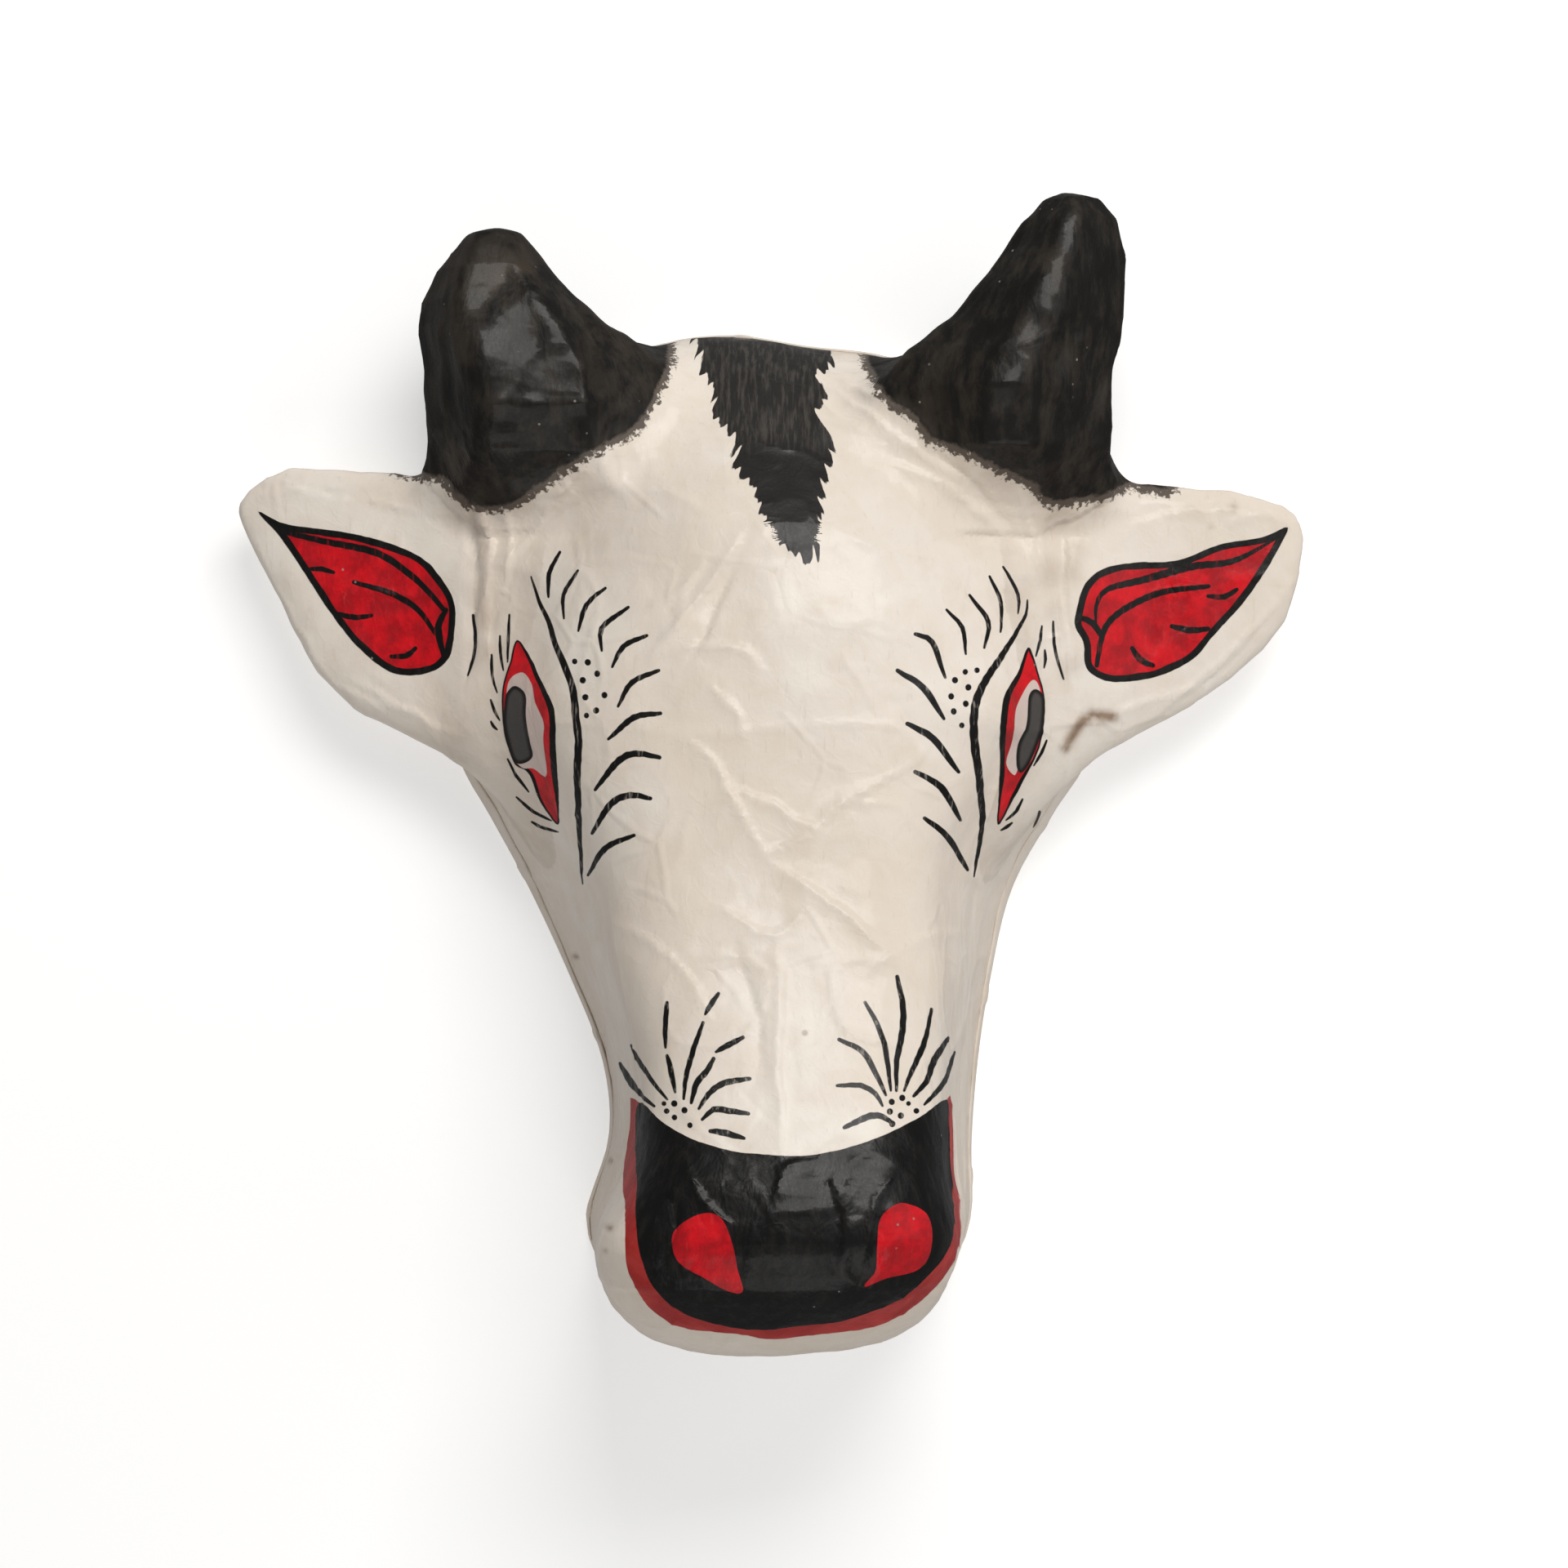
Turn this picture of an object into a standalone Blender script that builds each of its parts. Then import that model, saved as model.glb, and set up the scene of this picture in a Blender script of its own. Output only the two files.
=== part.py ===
# Painted papier-mache cow mask, modelled as the assembly it is made of:
# a pasted-paper face shell, a folded paper binding round its rim, two rolled
# newspaper horns and two leaf-shaped ears, each with its own core, skins and the
# pasted strips that hold it to the head.
#
# Frame: +Z up, the face looks along -Y, the back of the rim lies in the plane
# Y = 0 and the head opens towards +Y.  Design dimensions are in millimetres and
# are turned into metres when each mesh is made.

import math

import bpy
import bmesh
import numpy as np

MM = 0.001

# ------------------------------------------------------------ driving dimensions
GAP = 0.35              # clearance between pasted pieces
ROOT_GAP = 0.9          # clearance of a horn's root from the head
SHELL_T = 3.0           # thickness of the pasted paper face shell
RIM_D = 1.6             # depth of the shell's cut edge in front of the rim plane
BIND_T = 1.0            # thickness of the folded rim binding
BIND_LEG = 6.0          # how far the binding reaches forward over the shell
SKIN_T = 1.6            # paper skin of the horns and ears
COLLAR_T = 1.1          # thickness of a collar of pasted strips
PASTE = 0.75            # clearance of a strip's underside from what it covers
COLLAR_LOW = 84.0       # a horn's collar stops above the ear's root
COLLAR_R = 1.5          # radius of the rolled strip round a horn's root
COLLAR_W = 5.0          # reach of a collar on each side of its joint
CARD_T = 1.6            # cardboard leaf inside an ear

RIM_STEPS = 64          # points round the rim
DEPTH_STEPS = 15        # rows from the rim to the front ridge
HORN_STEPS = 22         # points round a horn
HORN_ROWS = 11          # rows from a horn's root to its tip
EAR_COLS = 13           # points across an ear
EAR_ROWS = 10           # rows from an ear's root to its tip

# Outline of the rim, seen from the front: (x, z), clockwise from the crown.
RIM_OUTLINE = [
    (-12, 134), (12, 130), (36, 126), (60, 116), (81, 99), (94, 73), (100, 45),
    (102, 20), (99, 2), (90, -12), (76, -37), (69, -66), (65, -92), (63, -118),
    (62, -142), (57, -158), (34, -173), (-6, -178), (-38, -172), (-53.5, -159),
    (-57, -141), (-51, -116), (-53, -92), (-63, -66), (-76, -38), (-89, -14),
    (-98, 2), (-102, 20), (-100, 45), (-94, 73), (-81, 100), (-58, 120), (-34, 131),
]

# Stations down the front: height z, depth of the front face, drop of the front
# face towards its sides, taper of the side walls, rounding between the two.
HEAD_STATIONS = [
    # z     depth  drop  taper round
    (150,    8,    4,   0.05,  10),
    (136,   26,    5,   0.06,  12),
    (125,   40,   10,   0.12,  20),
    (112,   53,   16,   0.24,  30),
    (96,    63,   18,   0.36,  34),
    (75,    73,   16,   0.44,  34),
    (45,    80,   12,   0.48,  26),
    (10,    84,    8,   0.50,  18),
    (-26,   90,    7,   0.38,  16),
    (-62,  100,    8,   0.22,  17),
    (-86,  110,    9,   0.17,  18),
    (-110, 121,   10,   0.13,  18),
    (-124, 128,   12,   0.11,  18),
    (-138, 131,   13,   0.08,  18),
    (-153, 126,   15,   0.05,  19),
    (-164, 114,   16,   0.00,  20),
    (-172, 103,   15,  -0.02,  18),
    (-178,  92,   14,  -0.03,  18),
    (-190,  60,   10,  -0.03,  20),
]
DROP_HALF_WIDTH = 60.0

# Horn stations: height z, centre x, half width, centre depth, half depth.
HORN_LEFT = [
    (166.5, -85, 3, 46, 3),
    (165, -86, 8, 46, 8),
    (161, -86, 12, 46, 12),
    (155, -86.5, 18, 45, 17),
    (145, -85, 25, 44, 22),
    (135, -80.5, 31, 43, 26),
    (125, -76, 33.5, 42, 29),
    (112, -73, 34, 41, 32),
    (98, -73, 31, 39, 31),
    (88, -73, 23, 37, 24),
    (82, -72, 10, 35, 12),
]
HORN_RIGHT = [
    (178.5, 90, 4, 48, 3.5),
    (176, 92.5, 9.5, 48, 9),
    (170, 92, 15.5, 47, 14),
    (160, 90, 20, 46, 18),
    (150, 87, 24, 45, 22),
    (140, 83, 28, 44, 25),
    (130, 77, 32, 43, 28),
    (118, 73, 34, 42, 31),
    (100, 73.5, 32.5, 40, 31),
    (90, 74, 28, 38, 27),
    (80, 75, 15, 35, 15),
]

# Ear stations: along the ear from the root to the tip, the upper edge (x, z),
# the lower edge (x, z), depth of the middle plane and half thickness there.
EAR_LEFT = [
    (-74, 70, -74, -10, 28, 14),
    (-90, 78, -90, -2, 28, 13.5),
    (-104, 90, -104, 6, 26, 12.5),
    (-118, 93, -117, 13, 25, 11),
    (-130, 93, -130, 20, 24, 9.5),
    (-142, 94, -141, 32, 23, 8),
    (-152, 95, -150, 49, 22, 6.5),
    (-160, 92, -157, 63, 21, 5),
    (-165, 88, -163, 73, 20, 3.8),
    (-167.3, 84, -166.8, 79, 20, 2.6),
]
EAR_RIGHT = [
    (74, 68, 74, -14, 28, 14),
    (90, 76, 90, -4, 28, 13.5),
    (106, 90, 104, 7, 26, 12.5),
    (119, 90, 118, 14, 25, 11),
    (132, 89, 131, 21, 24, 9.5),
    (144, 88, 144, 29, 23, 8),
    (154, 85.5, 154, 38, 22, 6.5),
    (161, 83, 161, 48, 21, 5),
    (165, 81, 164.6, 60, 20, 3.8),
    (167.3, 77, 166.8, 69, 20, 2.6),
]

# ------------------------------------------------------------ the head's surface


def closed_curve(points, count):
    """Evenly spaced points on a smooth closed curve through the given ones."""
    p = np.array(points, float)
    dense = []
    n = len(p)
    for i in range(n):
        a, b, c, d = p[i - 1], p[i], p[(i + 1) % n], p[(i + 2) % n]
        for s in np.linspace(0, 1, 12, endpoint=False):
            dense.append(0.5 * (2 * b + (c - a) * s + (2 * a - 5 * b + 4 * c - d) * s * s
                                + (3 * b - a - 3 * c + d) * s ** 3))
    dense = np.array(dense)
    loop = np.vstack([dense, dense[:1]])
    length = np.concatenate([[0], np.cumsum(np.linalg.norm(np.diff(loop, axis=0), axis=1))])
    at = np.linspace(0, length[-1], count, endpoint=False)
    return np.stack([np.interp(at, length, loop[:, k]) for k in (0, 1)], axis=1)


OUTLINE = closed_curve(RIM_OUTLINE, 150)


def outline_distance(x, z):
    """Signed distance to the rim outline in the front view, negative inside."""
    shape = x.shape
    p = np.stack([x.ravel(), z.ravel()], axis=1)
    a = OUTLINE
    b = np.roll(OUTLINE, -1, axis=0)
    best = np.full(len(p), 1e9)
    inside = np.zeros(len(p), bool)
    for (ax, az), (bx, bz) in zip(a, b):
        ex, ez = bx - ax, bz - az
        t = np.clip(((p[:, 0] - ax) * ex + (p[:, 1] - az) * ez) / (ex * ex + ez * ez), 0, 1)
        dx, dz = p[:, 0] - ax - t * ex, p[:, 1] - az - t * ez
        best = np.minimum(best, dx * dx + dz * dz)
        cross = (az > p[:, 1]) != (bz > p[:, 1])
        if az != bz:
            cross &= p[:, 0] < (bx - ax) * (p[:, 1] - az) / (bz - az) + ax
        inside ^= cross
    best = np.sqrt(best)
    return np.where(inside, -best, best).reshape(shape)


GRID_X = np.arange(-125.0, 126.0, 2.0)
GRID_Z = np.arange(-200.0, 161.0, 2.0)
GRID_SD = outline_distance(*np.meshgrid(GRID_X, GRID_Z, indexing="ij"))


def grid_sd(x, z):
    u = np.clip((x - GRID_X[0]) / 2.0, 0, len(GRID_X) - 1.001)
    v = np.clip((z - GRID_Z[0]) / 2.0, 0, len(GRID_Z) - 1.001)
    i, j = u.astype(int), v.astype(int)
    fu, fv = u - i, v - j
    g = GRID_SD
    return ((g[i, j] * (1 - fu) + g[i + 1, j] * fu) * (1 - fv)
            + (g[i, j + 1] * (1 - fu) + g[i + 1, j + 1] * fu) * fv)


STATION = np.array(sorted(HEAD_STATIONS), float)


def station(z, column):
    """A head dimension at height z, blended smoothly between the stations."""
    zs, vs = STATION[:, 0], STATION[:, column]
    total = 0.0
    for shift, weight in ((-4.0, 0.25), (0.0, 0.5), (4.0, 0.25)):
        total = total + weight * np.interp(z + shift, zs, vs)
    return total


def middle(z):
    """Where the front ridge runs: slightly to the right above the muzzle."""
    return np.interp(z, [-176, -150, -110, -60, 0, 140], [-4, 2, 5, 3, 1, 0])


def smooth_max(a, b, k):
    h = np.clip(0.5 + 0.5 * (a - b) / k, 0, 1)
    return a * h + b * (1 - h) + k * h * (1 - h)


def head(x, d, z):
    """About the distance in mm outside the head's outer surface."""
    x, d, z = np.broadcast_arrays(*[np.asarray(v, float) for v in (x, d, z)])
    depth = station(z, 1) - station(z, 2) * ((x - middle(z)) / DROP_HALF_WIDTH) ** 2
    slope = (station(z + 1, 1) - station(z - 1, 1)) / 2
    front = (d - depth) / np.sqrt(1 + slope ** 2)
    taper = station(z, 3)
    side = (grid_sd(x, z) + taper * np.maximum(d, 0)) / np.sqrt(1 + taper ** 2)
    return smooth_max(front, side, station(z, 4))


def march(point_at, level, start, stop, steps=240):
    """First parameter from start to stop at which the head's distance falls to
    level.  point_at(s) gives x, d, z for an array of parameters."""
    s = np.linspace(start, stop, steps)
    value = head(*point_at(s)) - level
    below = np.nonzero(value <= 0)[0]
    if len(below) == 0:
        return stop
    i = below[0]
    if i == 0:
        return start
    lo, hi = s[i - 1], s[i]
    for _ in range(30):
        m = 0.5 * (lo + hi)
        if (head(*point_at(np.array([m]))) - level)[0] <= 0:
            hi = m
        else:
            lo = m
    return hi


def cast(origin, direction, level):
    """Where rays from inside the head leave it, at a distance level outside."""
    lo = np.zeros(len(origin))
    hi = np.full(len(origin), 260.0)
    for _ in range(46):
        m = 0.5 * (lo + hi)
        p = origin + direction * m[:, None]
        outside = head(p[:, 0], p[:, 1], p[:, 2]) > level
        hi = np.where(outside, m, hi)
        lo = np.where(outside, lo, m)
    return origin + direction * hi[:, None]


# ------------------------------------------------------------ meshes and materials


def material(name, colour, roughness):
    m = bpy.data.materials.new(name)
    m.use_nodes = True
    bsdf = m.node_tree.nodes["Principled BSDF"]
    bsdf.inputs["Base Color"].default_value = (*colour, 1.0)
    bsdf.inputs["Roughness"].default_value = roughness
    bsdf.inputs["Metallic"].default_value = 0.0
    return m


def make(name, verts, faces, mat):
    """A closed body from points in (x, depth, z) millimetres."""
    mesh = bpy.data.meshes.new(name)
    mesh.from_pydata([(x * MM, -d * MM, z * MM) for x, d, z in verts], [], faces)
    bm = bmesh.new()
    bm.from_mesh(mesh)
    bmesh.ops.recalc_face_normals(bm, faces=bm.faces)
    if bm.calc_volume(signed=True) < 0:
        bmesh.ops.reverse_faces(bm, faces=bm.faces)
    bmesh.ops.triangulate(bm, faces=bm.faces)
    bm.to_mesh(mesh)
    bm.free()
    mesh.materials.append(mat)
    mesh.shade_smooth()
    mesh.set_sharp_from_angle(angle=math.radians(50))
    obj = bpy.data.objects.new(name, mesh)
    bpy.context.collection.objects.link(obj)
    return obj


def bridge(faces, a, b, count, closed=True):
    """Quads between two rows of points that start at indices a and b."""
    for i in range(count if closed else count - 1):
        j = (i + 1) % count
        faces.append((a + i, a + j, b + j, b + i))


# ------------------------------------------------------------ face shell and binding

RIM = closed_curve(RIM_OUTLINE, RIM_STEPS)


def fan(level, low, rows):
    """Rings of points on the head at a distance level from its outer surface,
    from the rim at depth low up to a narrow ring along the front ridge."""
    spine_z = np.clip(RIM[:, 1], -112, 78)
    origin = np.stack([middle(spine_z), np.full(RIM_STEPS, low), spine_z], axis=1)
    flat = np.stack([RIM[:, 0], np.full(RIM_STEPS, low), RIM[:, 1]], axis=1) - origin
    flat /= np.linalg.norm(flat, axis=1)[:, None]
    rings = []
    for r in range(rows):
        s = r / (rows - 1)
        a = math.radians(84.0) * (s ** 0.92)
        ray = flat * math.cos(a) + np.array([0, 1.0, 0]) * math.sin(a)
        rings.append(cast(origin, ray, level))
    return rings


def zip_front(faces, base, count):
    """Close the narrow ring along the front ridge, side to side."""
    i, j = 0, count - 1
    while j - i > 2:
        faces.append((base + i, base + i + 1, base + j - 1, base + j))
        i, j = i + 1, j - 1
    if j - i == 2:
        faces.append((base + i, base + i + 1, base + j))


def face_shell(mat):
    outer = fan(0.0, RIM_D, DEPTH_STEPS)
    inner = fan(-SHELL_T, RIM_D, DEPTH_STEPS)
    verts, faces = [], []
    for ring in outer + inner:
        verts.extend(map(tuple, ring))
    n = RIM_STEPS
    for r in range(DEPTH_STEPS - 1):
        bridge(faces, r * n, (r + 1) * n, n)
    zip_front(faces, (DEPTH_STEPS - 1) * n, n)
    off = DEPTH_STEPS * n
    start = len(faces)
    for r in range(DEPTH_STEPS - 1):
        bridge(faces, off + r * n, off + (r + 1) * n, n)
    zip_front(faces, off + (DEPTH_STEPS - 1) * n, n)
    faces[start:] = [tuple(reversed(f)) for f in faces[start:]]
    bridge(faces, off, 0, n)
    return make("face_shell", verts, faces, mat)


def rim_binding(mat):
    """A folded strip, U-shaped in section, whose back lies in the rim plane."""
    inner_out = -SHELL_T - GAP
    inner_in = inner_out - BIND_T
    profile = [
        (GAP + BIND_T, 0.0), (GAP + BIND_T, BIND_LEG * 0.5), (GAP + BIND_T, BIND_LEG),
        (GAP, BIND_LEG), (GAP, RIM_D - GAP), (inner_out, RIM_D - GAP),
        (inner_out, BIND_LEG), (inner_in, BIND_LEG), (inner_in, 0.0),
    ]
    spine_z = np.clip(RIM[:, 1], -112, 78)
    verts, faces = [], []
    for level, depth in profile:
        origin = np.stack([middle(spine_z), np.full(RIM_STEPS, depth), spine_z], axis=1)
        flat = np.stack([RIM[:, 0], np.full(RIM_STEPS, depth), RIM[:, 1]], axis=1) - origin
        flat /= np.linalg.norm(flat, axis=1)[:, None]
        verts.extend(map(tuple, cast(origin, flat, level)))
    n = RIM_STEPS
    for k in range(len(profile)):
        bridge(faces, k * n, ((k + 1) % len(profile)) * n, n)
    return make("rim_binding", verts, faces, mat)


# ------------------------------------------------------------ horns


def horn_point(table, angle, s, shrink):
    """Point on a horn: s runs 0 at the tip to 1 at the last station inside the
    head, angle goes round, shrink is how far inside the outer skin it lies."""
    t = np.array(table, float)
    top, bottom = t[0, 0] - 1.6 * shrink, t[-1, 0]
    z = top + (bottom - top) * s
    zs = t[::-1, 0]
    cx, hx, cd, hd = [np.interp(z, zs, t[::-1, c]) for c in (1, 2, 3, 4)]
    hx = np.maximum(hx - shrink, 1.2)
    hd = np.maximum(hd - shrink, 1.2)
    return cx + hx * math.cos(angle), cd + hd * math.sin(angle), z


def horn_rings(table, shrink, level, rows):
    """Rings from the root, where the horn meets the head, up to the tip."""
    angles = [2 * math.pi * i / HORN_STEPS for i in range(HORN_STEPS)]
    reach = [march(lambda s, a=a: horn_point(table, a, s, shrink), level, 0.12, 1.0)
             for a in angles]
    rings = []
    for r in range(rows):
        f = 1 - r / (rows - 1)
        ring = []
        for a, m in zip(angles, reach):
            s = m * (f ** 1.7) if f > 0 else 0.0
            x, d, z = horn_point(table, a, np.array([s]), shrink)
            ring.append((float(x[0]), float(d[0]), float(z[0])))
        rings.append(ring)
    return rings, angles, reach


def horn_skin(name, table, mat):
    outer, _, _ = horn_rings(table, 0.0, ROOT_GAP, HORN_ROWS)
    inner, _, _ = horn_rings(table, SKIN_T, ROOT_GAP, HORN_ROWS)
    verts, faces = [], []
    n = HORN_STEPS
    for ring in outer + inner:
        verts.extend(ring)
    off = n * HORN_ROWS
    for r in range(HORN_ROWS - 1):
        bridge(faces, r * n, (r + 1) * n, n)
        bridge(faces, off + (r + 1) * n, off + r * n, n)
    faces.append(tuple(n * (HORN_ROWS - 1) + i for i in range(n)))
    faces.append(tuple(off + n * (HORN_ROWS - 1) + n - 1 - i for i in range(n)))
    bridge(faces, off, 0, n)
    return make(name, verts, faces, mat)


def horn_core(name, table, mat):
    """The crumpled newspaper core that the skin is pasted over."""
    rows = HORN_ROWS
    rings, _, _ = horn_rings(table, SKIN_T + GAP + 0.9, ROOT_GAP, rows)
    verts, faces = [], []
    n = HORN_STEPS
    for ring in rings:
        verts.extend(ring)
    for r in range(rows - 1):
        bridge(faces, r * n, (r + 1) * n, n)
    faces.append(tuple(n * (rows - 1) + i for i in range(n)))
    root = np.array(rings[0])
    verts.append(tuple(root.mean(axis=0)))
    hub = len(verts) - 1
    # the root follows the head, so its centre is lifted clear of the shell
    c = root.mean(axis=0)
    while head(c[0], c[1], c[2]) < GAP + 0.2:
        c = c + np.array([0.0, 0.15, 0.35])
    verts[hub] = tuple(c)
    for i in range(n):
        faces.append((hub, (i + 1) % n, i))
    return make(name, verts, faces, mat)


# ------------------------------------------------------------ ears


def ear_point(table, v, s, side, shrink):
    """Point on an ear: s runs 0 at the tip to 1 inside the head, v from -1 at
    the lower edge to 1 at the upper edge; side is 1 on the front face and -1 on
    the back; shrink is how far inside the skin it lies."""
    t = np.array(table, float)[::-1]
    k = np.linspace(0, 1, len(t))
    s = np.asarray(s, float)
    ux, uz, lx, lz, cd, hd = [np.interp(s, k, t[:, c]) for c in range(6)]
    width = np.hypot(ux - lx, uz - lz) / 2
    hv = np.maximum(1 - shrink / width, 0.2) * v
    inward = shrink * (1 - s) * (1 if table[0][0] < 0 else -1)
    x = (ux + lx) / 2 + (ux - lx) / 2 * hv + inward
    z = (uz + lz) / 2 + (uz - lz) / 2 * hv
    half = np.maximum(hd - shrink, 0.5)
    lens = math.sqrt(max(0.0, 1 - abs(v) ** 2.4))
    cup = 0.30 * half * max(0.0, 1 - v * v) * np.clip(s * 3, 0, 1) * np.clip((1 - s) * 3, 0, 1)
    d = cd + side * half * lens
    if side > 0:
        d = d - cup
    return x, d, z


EDGE_V = [math.sin(math.pi * (i / (EAR_COLS - 1) - 0.5)) for i in range(EAR_COLS)]


def ear_rows(table, side, shrink, lift, level=GAP):
    """Rows of points from the root to the tip on one face of the ear."""
    reach = [march(lambda s, v=v: ear_point(table, v, s, side, shrink), level + 0.45, 0.3, 1.0)
             for v in EDGE_V]
    rows = []
    for r in range(EAR_ROWS):
        f = 1 - r / (EAR_ROWS - 1)
        row = []
        for v, m in zip(EDGE_V, reach):
            x, d, z = ear_point(table, v, np.array([m * f]), side, shrink)
            row.append((float(x[0]), float(d[0]) + lift, float(z[0])))
        rows.append(row)
    return rows


def ear_skin(name, table, side, mat):
    """Half of the ear's skin, front or back.  The two halves meet along the
    ear's edge with a pasted seam, where each keeps half of the clearance."""
    shift = side * (GAP / 2)
    outer = ear_rows(table, side, 0.0, shift)
    inner = ear_rows(table, side, SKIN_T, shift)
    verts, faces = [], []
    n = EAR_COLS
    for row in outer + inner:
        verts.extend(row)
    off = n * EAR_ROWS
    for r in range(EAR_ROWS - 1):
        bridge(faces, r * n, (r + 1) * n, n, closed=False)
        bridge(faces, off + (r + 1) * n, off + r * n, n, closed=False)
        faces.append((r * n, off + r * n, off + (r + 1) * n, (r + 1) * n))
        faces.append((off + r * n + n - 1, r * n + n - 1,
                      (r + 1) * n + n - 1, off + (r + 1) * n + n - 1))
    bridge(faces, off, 0, n, closed=False)
    last = (EAR_ROWS - 1) * n
    bridge(faces, last, off + last, n, closed=False)
    return make(name, verts, faces, mat)


def ear_card(name, table, mat):
    """The flat cardboard leaf that stiffens the ear, inside its two skins."""
    cols, rows = 7, 8
    verts, faces = [], []
    layers = []
    for side in (1, -1):
        layer = []
        for r in range(rows):
            row = []
            for i in range(cols):
                v = (-1 + 2 * i / (cols - 1)) * 0.72
                at = lambda s, v=v: (ear_point(table, v, s, 1, SKIN_T + 1.0)[0],
                                     np.interp(s, np.linspace(0, 1, len(table)),
                                               [row_[4] for row_ in table[::-1]]) - 0.8,
                                     ear_point(table, v, s, 1, SKIN_T + 1.0)[2])
                m = march(at, GAP + 0.4, 0.35, 1.0)
                s = 0.33 + (m - 0.33) * (1 - r / (rows - 1))
                x, d, z = at(np.array([s]))
                row.append((float(x[0]), float(d[0]) + side * CARD_T / 2, float(z[0])))
            layer.append(row)
        layers.append(layer)
    for layer in layers:
        for row in layer:
            verts.extend(row)
    off = cols * rows
    for r in range(rows - 1):
        bridge(faces, r * cols, (r + 1) * cols, cols, closed=False)
        bridge(faces, off + (r + 1) * cols, off + r * cols, cols, closed=False)
        faces.append((r * cols, off + r * cols, off + (r + 1) * cols, (r + 1) * cols))
        faces.append((off + r * cols + cols - 1, r * cols + cols - 1,
                      (r + 1) * cols + cols - 1, off + (r + 1) * cols + cols - 1))
    bridge(faces, off, 0, cols, closed=False)
    last = (rows - 1) * cols
    bridge(faces, last, off + last, cols, closed=False)
    return make(name, verts, faces, mat)


# ------------------------------------------------------------ collars of pasted strips


def head_normal(p):
    e = 0.5
    g = np.array([
        head(p[0] + e, p[1], p[2]) - head(p[0] - e, p[1], p[2]),
        head(p[0], p[1] + e, p[2]) - head(p[0], p[1] - e, p[2]),
        head(p[0], p[1], p[2] + e) - head(p[0], p[1], p[2] - e),
    ])
    return g / np.linalg.norm(g)


def onto_head(p, level):
    for _ in range(6):
        n = head_normal(p)
        p = p - n * (head(p[0], p[1], p[2]) - level)
    return p


def collar(name, stations, mat):
    """A pasted strip along a joint.  Each station gives the joint point, the
    direction up the horn or ear, its outward normal, and the strip's width."""
    verts, faces = [], []
    for joint, up_points, normal_out, width in stations:
        hn = head_normal(joint)
        away = normal_out - hn * np.dot(normal_out, hn)
        away /= np.linalg.norm(away)
        foot = joint + away * PASTE
        inner = [up_points[1] + normal_out * PASTE, up_points[0] + normal_out * PASTE]
        corner_in = onto_head(foot, PASTE)
        toe_mid = onto_head(joint + away * (width * 0.55), PASTE)
        toe = onto_head(joint + away * width, PASTE)
        inner += [corner_in, toe_mid, toe]
        t = COLLAR_T
        outer = [onto_head(joint + away * (width + 0.3), PASTE + t * 0.45),
                 onto_head(joint + away * (width * 0.60 + t), PASTE + t * 1.05),
                 inner[2] + (normal_out + hn) * t * 1.15,
                 inner[1] + normal_out * t * 1.1,
                 inner[0] + normal_out * t * 0.45]
        verts.extend(tuple(p) for p in inner + outer)
    k = 10
    n = len(stations)
    for i in range(n - 1):
        for j in range(k):
            a, b = i * k + j, i * k + (j + 1) % k
            faces.append((a, b, b + k, a + k))
    faces.append(tuple(range(k)))
    faces.append(tuple(reversed(range((n - 1) * k, n * k))))
    return make(name, verts, faces, mat)


def horn_collar(name, table, mat, skip_low, skip_high):
    """A rolled paper strip bedded in the angle between a horn and the head.  It
    runs round the crown side and the front of the root, short of the ear."""
    centre = (skip_low + skip_high) / 2
    half = (skip_high - skip_low) / 2
    turns = [centre + half + (2 * math.pi - 2 * half) * i / 160 for i in range(161)]
    low = [r[0] for r in table[::-1]]
    path = []
    for a in turns:
        at = lambda s, a=a: horn_point(table, a, s, 0.0)
        m = march(at, GAP, 0.12, 1.0)
        p0, p1 = [np.array([float(c[0]) for c in at(np.array([m - e]))]) for e in (0.0, 0.01)]
        if p0[2] < COLLAR_LOW or (path and np.linalg.norm(p0 - path[-1][0]) < 5.0):
            continue
        q = np.array([float(c[0]) for c in horn_point(table, a + 0.05, np.array([m]), 0.0)])
        normal = np.cross(p1 - p0, q - p0)
        normal /= np.linalg.norm(normal)
        axis = np.array([np.interp(p0[2], low, [r[1] for r in table[::-1]]),
                         np.interp(p0[2], low, [r[3] for r in table[::-1]]), p0[2]])
        if np.dot(normal, p0 - axis) < 0:
            normal = -normal
        hn = head_normal(p0)
        path.append((p0, normal, hn))
    verts, faces = [], []
    sides = 10
    reach = COLLAR_R + PASTE
    for p0, normal, hn in path:
        g = max(-0.6, float(np.dot(normal, hn)))
        c = p0 + (normal + hn) * (reach + 0.15) / (1 + g)
        e1 = (normal + hn) / np.linalg.norm(normal + hn)
        e2 = normal - e1 * np.dot(normal, e1)
        e2 /= np.linalg.norm(e2)
        for i in range(sides):
            f = 2 * math.pi * i / sides
            verts.append(tuple(c + e1 * COLLAR_R * math.cos(f) + e2 * COLLAR_R * math.sin(f)))
    for k in range(len(path) - 1):
        bridge(faces, k * sides, (k + 1) * sides, sides)
    faces.append(tuple(range(sides)))
    faces.append(tuple(reversed(range((len(path) - 1) * sides, len(path) * sides))))
    return make(name, verts, faces, mat)


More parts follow.
